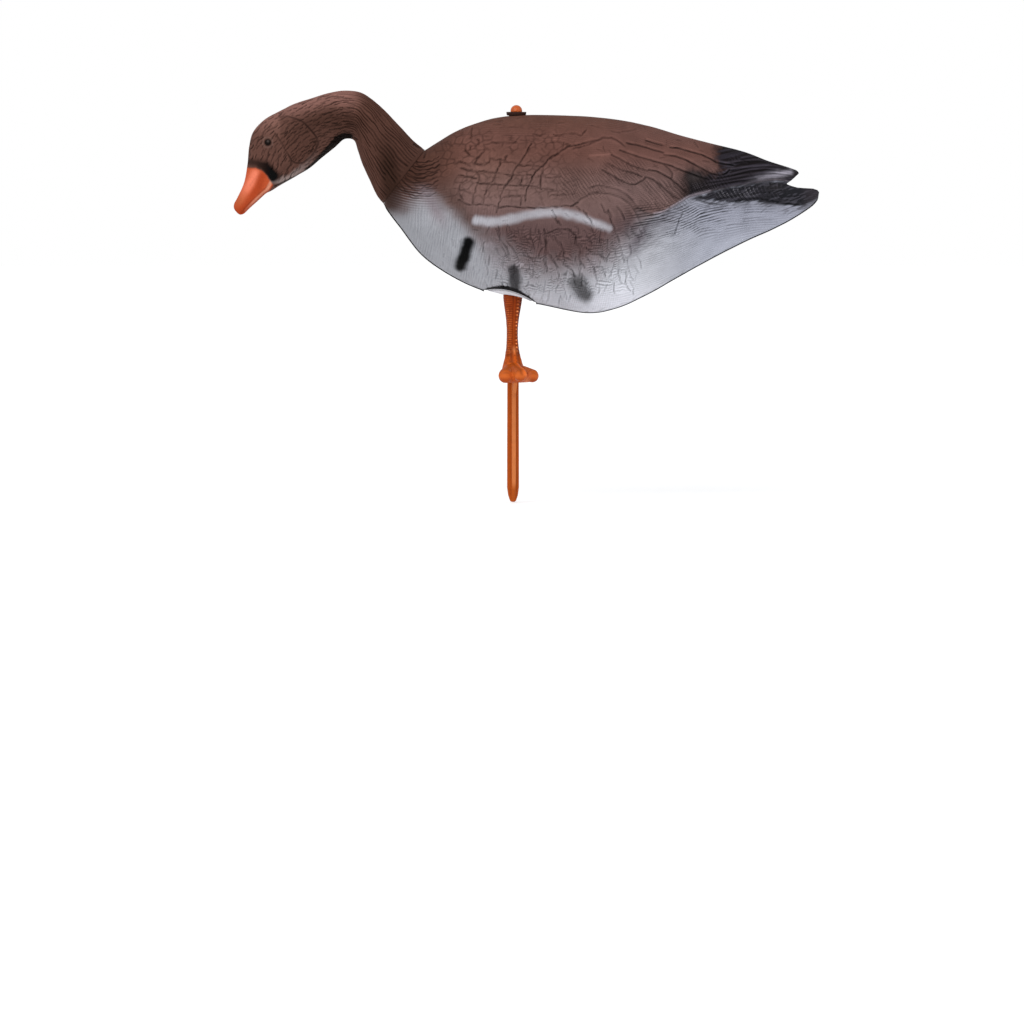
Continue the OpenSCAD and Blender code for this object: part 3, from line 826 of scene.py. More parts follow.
def body_fine(u, v, P, N):
    """Phases and strengths of the two sets of fine lines, which the material turns into bump and into a painted shade
    and highlight along them.
    """
    up = np.clip(N[..., 2], 0, 1)
    bow = 0.010 * (v - 235) ** 2 / 10
    ph1 = (u + bow + 0.12 * (v - 235) + 1.6 * noise(u / 14, v / 26, seed=71)) / 2.15
    m1 = 0.6 * smooth(198, 214, v) * smooth(560, 500, u)
    m1 = np.maximum(m1, 0.8 * smooth(215, 232, v) * smooth(640, 590, u))
    m1 = np.maximum(m1, 0.16 * smooth(140, 160, v) * smooth(640, 560, u))
    slope = np.interp(u.ravel(), [380, 560, 640, 700, 760, 815], [0.0, 0.04, 0.30, 0.42, 0.34, 0.2]).reshape(u.shape)
    ph2 = (v + slope * (u - 640) + 1.3 * noise(u / 26, v / 12, seed=73)) / 2.05
    m2 = smooth(590, 640, u) * smooth(150, 175, v)
    m2 = np.maximum(m2, 0.45 * smooth(470, 500, u) * smooth(228, 240, v) * smooth(650, 620, u))
    m2 = np.maximum(m2, 0.9 * smooth(430, 450, u) * smooth(172, 140, v) * smooth(-0.4, 0.5, noise(u / 16, v / 5, seed=76)))
    face = smooth(0.05, 0.35, np.abs(N[..., 1]))
    brk = 0.55 + 0.45 * noise(u / 12, v / 9, seed=75)
    return ph1, m1 * face * brk * (1 - 0.3 * up), ph2, m2 * face * brk


def neck_tone(c, u, v):
    """Darker brown round the root of the neck, shared by the neck and the collar of the body."""
    d = polyline(u, v, [(378, 128), (386, 150), (391, 178), (393, 205)])
    c = mix(c, lin(84, 57, 49), 0.85 * smooth(442, 418, u) * smooth(118, 142, v))
    c = mix(c, lin(72, 47, 39), 0.8 * smooth(34, 12, d[0]) * smooth(112, 140, v))
    c = mix(c, lin(48, 30, 23), 0.5 * np.exp(-((u - 410) / 22) ** 2 - ((v - 176) / 26) ** 2))
    return mix(c, lin(44, 27, 20), 0.9 * smooth(15, 3, d[0]) * smooth(128, 168, v))


def mix(c, col, m):
    m = np.clip(m, 0, 1)[..., None]
    return c * (1 - m) + np.asarray(col) * m


BROWN_TOP, BROWN_MID, BROWN_LOW = lin(105, 73, 66), lin(110, 87, 84), lin(91, 70, 69)
WHITE, SHADE, TAIL_WHITE = lin(180, 181, 188), lin(176, 176, 184), lin(172, 175, 189)


def body_paint(P, N):
    u, v = drawing(P)
    n1 = fbm(u / 30, v / 30, seed=81)
    n2 = fbm(u / 7, v / 7, seed=82)
    c = np.ones(u.shape + (3,)) * WHITE
    c = mix(c, SHADE, 0.7 * smooth(280, 306, v))
    c = mix(c, TAIL_WHITE, smooth(640, 720, u) * 0.9)
    c = mix(c, lin(150, 151, 166), 0.6 * smooth(600, 680, u) * smooth(250, 208, v))
    # greyer over the breast, whitest low on the belly
    k = np.interp(u.ravel(), [390, 420, 450, 500, 535, 560, 600, 640, 680, 760, 800], [0.58, 0.64, 0.70, 0.76, 0.86, 0.88, 1.0, 1.08, 0.90, 0.94, 1.0]).reshape(u.shape)
    k = k + 0.45 * smooth(262, 300, v) * np.exp(-((u - 622) / 48) ** 2) + 0.12 * np.exp(-((u - 540) / 16) ** 2) * smooth(284, 296, v)
    c = c * k[..., None]
    # sprayed brown: crisp at the wing's edge, feathered out on the flank
    d = inside(u, v, BROWN)
    soft = np.interp(u.ravel(), [380, 400, 430, 470, 500, 600, 640, 655, 700], [6, 9, 12, 14, 27, 27, 15, 3.0, 1.8]).reshape(u.shape)
    m = smooth(-1.0, 1.0, (d + soft * 0.18 * n2 + soft * 0.12 * n1) / soft)
    brown = np.ones_like(c) * BROWN_TOP
    brown = mix(brown, BROWN_MID, smooth(150, 190, v))
    brown = mix(brown, BROWN_LOW, smooth(203, 232, v))
    brown = mix(brown, lin(118, 88, 77), 0.25 * np.exp(-((u - 490) / 34) ** 2 - ((v - 172) / 22) ** 2))
    brown = mix(brown, lin(98, 66, 57), 0.85 * smooth(475, 440, u) * smooth(195, 165, v))
    brown = mix(brown, lin(97, 66, 56), 0.7 * smooth(138, 116, v))
    brown = mix(brown, lin(80, 55, 48), 0.75 * smooth(470, 436, u))
    brown = neck_tone(brown, u, v)
    brown = mix(brown, brown * (1.0, 0.95, 0.91), smooth(215, 190, v) * smooth(640, 560, u))
    brown = brown * (1.03 + 0.11 * n1 + 0.08 * n2 - 0.15 * np.exp(-((u - 545) / 55) ** 2 - ((v - 158) / 20) ** 2))[..., None]
    c = mix(c, brown, m)
    # paler band beside the neck, dark brown border under it
    band = np.exp(-((u - (428 + 0.5 * (v - 195))) / 8) ** 2) * smooth(180, 194, v) * smooth(236, 210, v)
    c = mix(c, lin(118, 105, 110), 0.7 * band)
    edge = np.exp(-((u - (450 + 0.75 * (v - 195))) / 9) ** 2) * smooth(180, 196, v) * smooth(246, 222, v)
    c = mix(c, lin(80, 60, 55), 0.7 * edge)
    # pale wash low on the flank over the brown
    c = mix(c, lin(168, 164, 172), 0.45 * smooth(0.05, 0.5, n2) * smooth(20, 0, d) * m * smooth(225, 250, v))
    c = mix(c, lin(84, 74, 82), 0.72 * smooth(0, -3, d) * smooth(-30, -3, d) * smooth(618, 640, u) * smooth(700, 655, u) * (0.8 + 0.4 * n2))
    c = mix(c, lin(84, 74, 80), 0.5 * np.exp(-((u - 636) / 15) ** 2 - ((v - 230) / 13) ** 2))
    c = mix(c, lin(82, 64, 64), 0.42 * np.exp(-((u - 600) / 20) ** 2 - ((v - 246) / 13) ** 2))
    c = mix(c, lin(92, 78, 78), 0.5 * np.exp(-((u - 405) / 13) ** 2 - ((v - 207) / 10) ** 2))
    # fine curved streaks where the collar fades to white
    arc = np.cos(2 * PI * np.hypot(u - 428, v - 95) / 2.5 + 1.6 * n1)
    zone = np.exp(-((u - 419) / 17) ** 2 - ((v - 199) / 10) ** 2)
    c = mix(c, lin(182, 176, 183), 0.40 * zone * smooth(0.1, 1, arc))
    c = mix(c, lin(66, 52, 51), 0.34 * zone * smooth(-0.1, -1, arc))
    c = c * (1 + 0.22 * np.exp(-((u - 430) / 14) ** 2 - ((v - 217) / 12) ** 2))[..., None]
    # black of the folded wing and the tail
    black = lin(15, 14, 17)
    wing = m * smooth(-12.0, 3.5, inside(u, v, BLACK) + 4.0 * n2 + 2.0 * noise(u / 2.2, v / 5.0, seed=85)) * smooth(-0.5, 1.5, d)
    wing = wing * (0.25 + 0.75 * smooth(676, 692, u + 2.5 * n2))
    c = mix(c, black, 0.97 * wing)
    # painted sheen: grey streaks over the black towards the wing's tip
    c = mix(c, lin(50, 46, 54), 0.75 * wing * smooth(704, 726, u) * smooth(-0.1, 0.5, noise(u / 16 + v / 9, (v + 0.22 * u) / 2.4, seed=86)))
    c = mix(c, lin(70, 62, 62), 0.75 * wing * np.exp(-((u - 694) / 9) ** 2 - ((v - 177) / 6) ** 2))
    dt = inside(u, v, TAIL_DARK)
    hair = noise(u / 7.0 - v / 9.0, v / 1.3 + u / 3.4, seed=84)
    c = mix(c, black, 0.97 * smooth(-2.2, 2.2, dt + 1.5 * n2 + 1.8 * hair) * (1 - m * 0.5))
    c = mix(c, lin(72, 70, 78), 0.7 * smooth(0.15, 0.55, hair) * smooth(-12, -2, dt) * smooth(700, 712, u) * (1 - m))
    c = mix(c, lin(58, 53, 58), 0.7 * smooth(798, 812, u) * smooth(828, 816, u) * smooth(185, 190, v))
    c = mix(c, lin(44, 41, 42), 0.5 * np.exp(-((u - 775) / 12) ** 2 - ((v - 187) / 4) ** 2))
    # painted highlight along the lower edge of the wing tips
    tip = polyline(u, v, [(744, 181.5), (762, 177.5), (778, 174), (791, 171.5)])
    c = mix(c, lin(150, 145, 156), smooth(742, 778, u) * np.exp(-((tip[0] + 1.3 * n2) / 3.2) ** 2) * np.exp(-tip[2] / 3))
    # painted highlight: grey on the crests of the raised barbs
    c = mix(c, lin(52, 48, 54), 0.4 * smooth(0.2, 0.9, barbs(u, v)) * smooth(704, 712, u) * smooth(768, 752, u) * smooth(184.5, 187, v) * smooth(200, 196.5, v) * smooth(2, 4, dt + 4))
    c = mix(c, lin(112, 110, 115), 0.65 * smooth(0.72, 1.0, barbs(u, v)) * smooth(712, 722, u) * smooth(762, 748, u) * smooth(186.5, 189, v) * smooth(199, 195.5, v) * smooth(-0.5, 0.4, noise(u / 7, v / 5, seed=49)))
    fine = np.cos(2 * PI * (u - 0.6 * (v - 187)) / 2.6)
    c = mix(c, lin(84, 78, 84), 0.55 * smooth(0.2, 1, fine) * smooth(688, 694, u) * smooth(724, 716, u) * smooth(181, 184, v) * smooth(-0.5, 1.5, d) * m)
    # grey haze where the black was sprayed past the white
    c = mix(c, lin(120, 120, 130), 0.45 * smooth(-8, -1, dt) * smooth(2, -1, dt) * (1 - m))
    # white stripe along the flank, and the belly's bars
    s = polyline(u, v, STRIPE)
    t = np.clip((u - 473) / 134, 0, 1)
    wide = np.interp(t.ravel(), [0, 0.12, 0.5, 0.8, 1], [4.6, 4.8, 4.4, 4.2, 3.8]).reshape(u.shape)
    st = smooth(wide + 2.6, wide - 3.6, s[0] + 1.2 * n2 + s[2] * 0.5)
    c = mix(c, lin(168, 166, 173), st * np.interp(t.ravel(), [0, 0.1, 0.3, 0.6, 0.9, 1], [1.0, 0.97, 0.86, 0.9, 0.9, 0.8]).reshape(u.shape))
    b = polyline(u, v, BAR_1)
    c = mix(c, lin(3, 3, 4), smooth(9.2, 3.0, b[0] + 1.3 * n2 + b[2] * 0.3))
    b = polyline(u, v, BAR_2)
    c = mix(c, lin(40, 38, 40), 0.9 * smooth(8.6, 2.6, b[0] + 1.8 * n2 + b[2] * 0.3))
    b = polyline(u, v, BAR_3)
    c = mix(c, lin(52, 50, 51), 0.88 * smooth(14.5, 1.5, b[0] + 2.6 * n2 + b[2] * 0.3))
    # dark line of the bonded seam under the belly and tail
    low = smooth(0.2, -0.4, N[..., 2])
    under = smooth(0, -6, P[..., 2] - np.interp(P[..., 0].ravel(), [-140, -100, 0, 250, 330, 370], [232, 205, 200, 200, 222, 232]).reshape(u.shape))
    c = mix(c, lin(14, 13, 16), 0.97 * np.maximum(low, under) * smooth(2.6, 1.4, np.abs(P[..., 1])))
    # painted highlight along the lower edge of the wing
    e = polyline(u, v, WING["P15a"][8:] + WING["P15b"][1:3])
    c = mix(c, lin(158, 148, 158), 0.6 * np.exp(-((e[0] * 1.0 + 0.4 * n2) / 1.25) ** 2) * np.exp(-e[2] / 2))
    return np.clip(c, 0.0015, 0.9)


def head_relief(P, N, S, A):
    """Height, painted shade and painted highlight of the head's skin. S: millimetres along the centreline from the
    collar; A: angle round from the top.
    """
    u, v = drawing(P)
    facing = smooth(0.10, 0.40, np.abs(N[..., 1]))
    hgt = HEAD_SHEET.sample(u, v, "h") * facing
    dark = HEAD_SHEET.sample(u, v, "dark") * facing
    light = HEAD_SHEET.sample(u, v, "light") * facing
    bill = inside(u, v, BILL)
    on_bill = smooth(-1.5, 1.5, bill)
    # broken wavy streaks that follow the neck
    rows = 27.0
    ph = A / PI * rows + 0.55 * noise(S / 26, A * 2.2, seed=21) + 0.22 * noise(S / 9, A * 6, seed=22)
    row = np.round(ph)
    q = np.abs(ph - row)
    brk = smooth(-0.62, -0.15, noise(S / 17 + row * 7.31, row * 3.7, seed=23))
    deep = 0.7 + 0.3 * noise(S / 30 + row * 2.1, row * 5.3, seed=24)
    neck = smooth(352, 318, u + 0 * v)
    neck = 1 - neck * smooth(0.05, 0.45, np.abs(N[..., 1]))        # drawn strokes take over on the head's sides
    neck = neck * (1 - on_bill) * smooth(1.5, 5, S)
    fore = smooth(262, 276, u)
    neck = neck * fore * (0.45 + 0.55 * smooth(300, 345, u))
    g = np.exp(-(q / 0.165) ** 2) * brk * deep
    hgt = hgt + neck * (0.45 * (1 - np.exp(-(q / 0.3) ** 2)) - 1.2 * g)
    dark = np.maximum(dark, 0.95 * g * neck)
    light = np.maximum(light, 0.5 * smooth(0.30, 0.46, q) * neck)
    # eye: a dome in a ring
    d = np.hypot(u - EYE[0], v - EYE[1])
    near = facing * (d < 9)
    hgt = hgt * (1 - near * smooth(6.5, 4.0, d))
    hgt = hgt + near * (1.5 * np.sqrt(np.clip(1 - (d / 2.7) ** 2, 0, 1)) - 0.75 * np.exp(-((d - 3.5) / 0.75) ** 2) + 0.35 * np.exp(-((d - 5.0) / 0.9) ** 2))
    dark = dark * (1 - near * smooth(5.5, 3.5, d))
    # bill: plain, with a crisp base
    lines = HEAD_SHEET.sample(u, v, "dark") * facing
    hgt = hgt * (1 - on_bill) + on_bill * (-0.8 * lines * smooth(1.5, 4, bill))
    dark = dark * (1 - on_bill) + on_bill * 0.6 * lines
    light = light * (1 - on_bill)
    s = np.exp(-(P[..., 1] / 1.1) ** 2)
    hgt = hgt - 0.5 * s * (1 - 0.6 * on_bill)
    return hgt, dark, light


def head_paint(P, N, S, A):
    u, v = drawing(P)
    n1, n2 = fbm(u / 26, v / 26, seed=91), fbm(u / 6, v / 6, seed=92)
    c = np.ones(u.shape + (3,)) * lin(92, 65, 57)
    c = mix(c, lin(80, 55, 47), smooth(340, 372, u))
    c = mix(c, lin(134, 99, 92), 0.95 * smooth(27, 5, polyline(u, v, [(254, 118), (272, 104), (300, 94), (334, 87), (352, 90)])[0]) * smooth(372, 340, u))
    c = mix(c, lin(100, 72, 64), 0.6 * smooth(300, 270, u) * smooth(118, 135, v) * smooth(166, 150, v))
    c = mix(c, lin(122, 90, 81), 0.8 * np.exp(-((u - 277) / 20) ** 2 - ((v - 130) / 17) ** 2))
    # darker inside the neck's bend and on the cheek
    dk = polyline(u, v, [(344, 138), (352, 143), (362, 158), (378, 184), (394, 208)])
    c = mix(c, lin(66, 44, 36), 0.6 * smooth(26, 4, dk[0]))
    c = mix(c, lin(52, 33, 26), 0.72 * smooth(25, 5, polyline(u, v, [(304, 134), (330, 124), (352, 130)])[0]))
    c = c * (1.0, 0.93, 0.90)
    c = neck_tone(c, u, v)
    ck = inside(u, v, CHEEK + [(280, 140)])
    c = mix(c, lin(72, 47, 39), 0.6 * smooth(-2, 2, ck))
    c = c * (1.08 + 0.09 * n1 + 0.07 * n2)[..., None]
    # pale strip under the cheek, black band at the bill's base
    b = polyline(u, v, CHIN)
    c = mix(c, lin(140, 124, 120), 0.85 * smooth(323, 290, u) * smooth(5.2, 0.2, b[0] + 1.6 * n2) * smooth(0.55, 0.0, N[..., 2]))
    b = polyline(u, v, BAND)
    lower = smooth(250, 272, u)
    wide = 3.4 + 3.4 * lower
    c = mix(c, lin(9, 5, 4), (0.66 + 0.34 * lower) * smooth(wide + 2.0, wide - 3.2, b[0] + 1.6 * n2))
    # throat seam, in black
    b = polyline(u, v, THROAT_SEAM)
    t = np.interp(u.ravel(), [275, 305, 322, 338, 345, 352], [0.7, 0.9, 1.9, 3.7, 3.5, 2.0]).reshape(u.shape)
    c = mix(c, lin(14, 9, 8), 0.96 * smooth(t + 0.9, t - 0.9, b[0]) * smooth(0.4, 0.0, N[..., 2]))
    # eye
    d = np.hypot(u - EYE[0], v - EYE[1])
    near = smooth(0.1, 0.4, np.abs(N[..., 1])) * (d < 9)
    c = mix(c, lin(12, 9, 8), 0.98 * smooth(4.3, 2.6, d) * near)
    c = mix(c, lin(130, 106, 98), 0.28 * np.exp(-((d - 5.0) / 0.8) ** 2) * near)
    # painted highlight: a small pale glint on the eye's dome
    c = mix(c, lin(96, 84, 80), 0.7 * np.exp(-((u - EYE[0] - 0.6) ** 2 + (v - EYE[1] + 1.0) ** 2) / 1.1) * near)
    d2 = np.hypot(u - 261.7, v - 135.8)
    c = mix(c, lin(52, 36, 30), 0.75 * smooth(1.5, 0.7, d2) * near)
    # bill
    bill = inside(u, v, BILL)
    o = np.ones_like(c) * lin(188, 82, 46)
    # painted highlight along the bill's upper left
    e = polyline(u, v, [(255, 174), (251, 182), (243, 196), (237, 208)])
    o = mix(o, lin(240, 132, 102), 0.9 * smooth(8.0, 0.5, e[0]) * smooth(204, 184, v))
    o = mix(o, lin(176, 92, 58), 0.6 * np.exp(-((u - 240) / 8) ** 2 - ((v - 201) / 9) ** 2))
    e = polyline(u, v, [(262, 176), (258, 188), (248, 203), (241, 213)])
    o = mix(o, lin(164, 62, 30), 0.75 * smooth(7, 1, e[0]))
    e = polyline(u, v, [(271, 182), (267, 190), (256, 200), (246, 211)])
    o = mix(o, lin(236, 170, 140), 0.62 * smooth(2.6, 0.5, e[0]))
    # painted shade: darker red on the bill's underside, on faces turned downwards
    o = mix(o, lin(130, 42, 22), 0.8 * smooth(0.0, -0.5, N[..., 2]) * smooth(0.75, 0.35, np.abs(N[..., 1])))
    o = mix(o, lin(168, 62, 26), 0.7 * smooth(201, 213, v))
    c = mix(c, o, smooth(-1.2, 1.2, bill + 0.6 * n2))
    return np.clip(c, 0.003, 0.9)


# ------------------------------------------------------------------ materials


class Mat:
    """A small helper for node materials."""

    def __init__(self, name, rough=0.6, spec=0.4, coat=0.0, coat_rough=0.2):
        self.m = bpy.data.materials.new(name)
        self.m.use_nodes = True
        self.t = self.m.node_tree
        self.t.nodes.clear()
        self.out = self.t.nodes.new("ShaderNodeOutputMaterial")
        self.b = self.t.nodes.new("ShaderNodeBsdfPrincipled")
        self.link(self.b.outputs[0], self.out.inputs[0])
        self.b.inputs["Roughness"].default_value = rough
        self.b.inputs["Specular IOR Level"].default_value = spec
        self.b.inputs["Coat Weight"].default_value = coat
        self.b.inputs["Coat Roughness"].default_value = coat_rough
        tc = self.t.nodes.new("ShaderNodeTexCoord")
        self.obj = tc.outputs["Object"]

    def link(self, a, b):
        self.t.links.new(a, b)

    def attr(self, name, colour=False):
        n = self.t.nodes.new("ShaderNodeAttribute")
        n.attribute_name = name
        return n.outputs["Color"] if colour else n.outputs["Fac"]

    def noise(self, scale, detail=3.0, rough=0.55, distortion=0.0, stretch=None):
        v = self.obj
        if stretch:
            mp = self.t.nodes.new("ShaderNodeMapping")
            mp.inputs["Scale"].default_value = stretch
            self.link(v, mp.inputs["Vector"])
            v = mp.outputs["Vector"]
        n = self.t.nodes.new("ShaderNodeTexNoise")
        n.inputs["Scale"].default_value = scale
        n.inputs["Detail"].default_value = detail
        n.inputs["Roughness"].default_value = rough
        n.inputs["Distortion"].default_value = distortion
        self.link(v, n.inputs["Vector"])
        return n.outputs["Fac"]

    def cells(self, scale, feature="F1"):
        n = self.t.nodes.new("ShaderNodeTexVoronoi")
        n.feature = feature
        n.inputs["Scale"].default_value = scale
        self.link(self.obj, n.inputs["Vector"])
        return n.outputs["Distance"]

    def math(self, op, a, b=None, c=None):
        n = self.t.nodes.new("ShaderNodeMath")
        n.operation = op
        for i, x in enumerate((a, b, c)):
            if x is None:
                continue
            if isinstance(x, (int, float)):
                n.inputs[i].default_value = x
            else:
                self.link(x, n.inputs[i])
        return n.outputs[0]

    def span(self, x, a, b, c, d):
        n = self.t.nodes.new("ShaderNodeMapRange")
        for k, val in zip(("From Min", "From Max", "To Min", "To Max"), (a, b, c, d)):
            n.inputs[k].default_value = val
        self.link(x, n.inputs["Value"])
        return n.outputs["Result"]

    def mix(self, a, b, fac, kind="MIX"):
        n = self.t.nodes.new("ShaderNodeMix")
        n.data_type = "RGBA"
        n.blend_type = kind
        for x, i in ((fac, 0), (a, 6), (b, 7)):
            if isinstance(x, (int, float)):
                n.inputs[i].default_value = x
            elif isinstance(x, (tuple, list, np.ndarray)):
                n.inputs[i].default_value = tuple(float(q) for q in x[:3]) + (1.0,)
            else:
                self.link(x, n.inputs[i])
        return n.outputs[2]

    def scale_colour(self, col, k):
        """col times a grey factor k (a socket)."""
        n = self.t.nodes.new("ShaderNodeVectorMath")
        n.operation = "SCALE"
        self.link(col, n.inputs[0])
        self.link(k, n.inputs["Scale"])
        return n.outputs[0]

    def bump(self, height, dist, strength=1.0, after=None):
        n = self.t.nodes.new("ShaderNodeBump")
        n.inputs["Distance"].default_value = dist
        n.inputs["Strength"].default_value = strength
        self.link(height, n.inputs["Height"])
        if after is not None:
            self.link(after, n.inputs["Normal"])
        return n.outputs[0]

    def colour(self, c):
        if isinstance(c, (tuple, list, np.ndarray)):
            self.b.inputs["Base Color"].default_value = tuple(float(q) for q in c[:3]) + (1.0,)
        else:
            self.link(c, self.b.inputs["Base Color"])

    def normal(self, n):
        self.link(n, self.b.inputs["Normal"])

    def rough(self, r):
        self.link(r, self.b.inputs["Roughness"])


def painted_foam(name, fine=True):
    m = Mat(name, spec=0.04)
    col = m.attr("paint", True)
    dark, light = m.attr("shade"), m.attr("lift")
    pores = m.cells(620)
    grain = m.noise(430, 4, 0.6)
    patch = m.noise(46, 3, 0.55)
    speck = m.noise(1500, 2, 0.6)
    k = m.span(patch, 0.3, 0.7, 0.93, 1.07)
    k = m.math("MULTIPLY", k, m.span(grain, 0.3, 0.7, 0.94, 1.06))
    k = m.math("MULTIPLY", k, m.span(speck, 0.35, 0.65, 0.965, 1.035))
    # painted shade darkens the paint in grooves and under edges, painted highlight lightens it on ridges
    k = m.math("MULTIPLY", k, m.math("SUBTRACT", 1.0, m.math("MULTIPLY", dark, 0.80)))
    k = m.math("MULTIPLY", k, m.math("ADD", 1.0, m.math("MULTIPLY", light, 0.55)))
    if fine:
        a = m.math("SINE", m.math("MULTIPLY", m.attr("ph1"), 2 * PI))
        b = m.math("SINE", m.math("MULTIPLY", m.attr("ph2"), 2 * PI))
        m1, m2 = m.attr("m1"), m.attr("m2")
        lines = m.math("ADD", m.math("MULTIPLY", a, m1), m.math("MULTIPLY", b, m2))
        # painted shade and highlight of the fine lines: paler on their crests, darker in their troughs
        k = m.math("MULTIPLY", k, m.math("ADD", 1.0, m.math("MULTIPLY", lines, 0.15)))
    # painted highlight: a paler grey on a few high points of the skin, where the painted ridge highlight is
    ridge_highlight_flecks = m.math("MULTIPLY", m.span(m.noise(95, 5, 0.7), 0.66, 0.78, 0.0, 0.35), light)
    col = m.scale_colour(col, k)
    col = m.mix(col, (0.30, 0.26, 0.25), ridge_highlight_flecks)
    m.colour(col)
    n = None
    if fine:
        n = m.bump(lines, 0.00034, 0.9)
    n = m.bump(m.math("ADD", m.math("MULTIPLY", pores, 0.5), grain), 0.00035, 0.55, n)
    n = m.bump(m.noise(160, 4, 0.6), 0.0006, 0.35, n)
    m.normal(n)
    m.rough(m.span(m.noise(120, 3, 0.5), 0.3, 0.7, 0.58, 0.74))
    return m.m


def bare_foam(name, c):
    """Cut or unpainted foam: fine open cells."""
    m = Mat(name, spec=0.25)
    cells = m.cells(900)
    k = m.span(cells, 0.0, 0.6, 0.72, 1.12)
    col = m.t.nodes.new("ShaderNodeRGB")
    col.outputs[0].default_value = tuple(float(q) for q in c) + (1.0,)
    tint = m.math("MULTIPLY", k, m.span(m.noise(60, 3), 0.3, 0.7, 0.9, 1.1))
    m.colour(m.scale_colour(col.outputs[0], tint))
    m.normal(m.bump(cells, 0.0006, 0.6))
    m.rough(m.span(m.noise(300, 2), 0.3, 0.7, 0.8, 0.92))
    return m.m


def plastic(name, c, rough, spec=0.5, coat=0.0, mottle=0.08, grain=0.25, painted=False):
    """Moulded plastic: c is its colour, with slight mottling, flow and an orange-peel skin."""
    m = Mat(name, spec=spec, coat=coat, coat_rough=0.12)
    if painted:
        col = m.attr("paint", True)
        # painted shade (the shade attribute) darkens and painted highlight (the lift attribute) lightens the paint
        k = m.math("SUBTRACT", 1.0, m.math("MULTIPLY", m.attr("shade"), 0.55))
        k = m.math("MULTIPLY", k, m.math("ADD", 1.0, m.math("MULTIPLY", m.attr("lift"), 0.75)))
    else:
        rgb = m.t.nodes.new("ShaderNodeRGB")
        rgb.outputs[0].default_value = tuple(float(q) for q in c) + (1.0,)
        col = rgb.outputs[0]
        k = m.span(m.noise(35, 2), 0.3, 0.7, 1.0, 1.0)
    k = m.math("MULTIPLY", k, m.span(m.noise(70, 3, 0.6, 0.4), 0.3, 0.7, 1 - mottle, 1 + mottle))
    k = m.math("MULTIPLY", k, m.span(m.noise(900, 2), 0.35, 0.65, 0.97, 1.03))
    m.colour(m.scale_colour(col, k))
    n = m.bump(m.noise(520, 3, 0.5), 0.00012, grain)
    n = m.bump(m.noise(60, 2, 0.5, 0.3, (1.0, 1.0, 0.25)), 0.0004, grain * 0.6, n)
    m.normal(n)
    m.rough(m.span(m.noise(210, 3, 0.6), 0.3, 0.7, rough - 0.06, rough + 0.08))
    return m.m


M_FOAM = painted_foam("painted foam")
M_HEAD = painted_foam("painted foam, head", fine=False)
M_BARE = bare_foam("bare foam", lin(44, 43, 45))
M_PALE = painted_foam("pale foam", fine=False)
M_LEG = plastic("orange leg", (0.3, 0.06, 0.01), 0.42, 0.09, painted=True, grain=0.5)
M_KNOB = plastic("orange gloss", lin(200, 92, 34), 0.28, 0.3, 0.12)
M_ROD = plastic("orange rod", lin(176, 82, 34), 0.4)
M_RUBBER = plastic("dark rubber", lin(56, 34, 28), 0.6, 0.15, mottle=0.12)
M_WASHER = plastic("grey plastic", lin(96, 97, 99), 0.5)

# ------------------------------------------------------------------ foam body


def cut(me):
    """Marks a cutting tool's faces, so that what it leaves shows bare foam."""
    me.polygons.foreach_set("material_index", np.ones(len(me.polygons), np.int32))
    return me


def shell_end(P, N, me_normals=None):
    return P


def along_pull(q, d):
    q = q.copy()
    q[[0, 2]] -= d * math.cos(PULL)
    q[[1, 3]] += d * math.sin(PULL)
    return q


def inset(Q, d):
    Q = Q.copy()
    v = Q[:, 2:4] - Q[:, :2]
    v = v / np.linalg.norm(v, axis=1)[:, None]
    Q[:, :2] += v * d
    Q[:, 2:4] -= v * d
    Q[:, 4] -= d
    return Q


def set_foam(obj, mats, paint, shade, lift):
    me = obj.data
    put(me, "paint", paint, "FLOAT_COLOR")
    put(me, "shade", shade)
    put(me, "lift", lift)
    me.materials.clear()
    for m in mats:
        me.materials.append(m)


def mark_flat_faces(me, ends):
    """The seam faces on the middle plane, and an open end's face, are bare foam."""
    n = len(me.polygons)
    idx = np.zeros(n, np.int32)
    k = ends["seam"]
    idx[n - 2 - k:n - 2] = 1
    idx[n - 2] = 1
    me.polygons.foreach_set("material_index", idx)


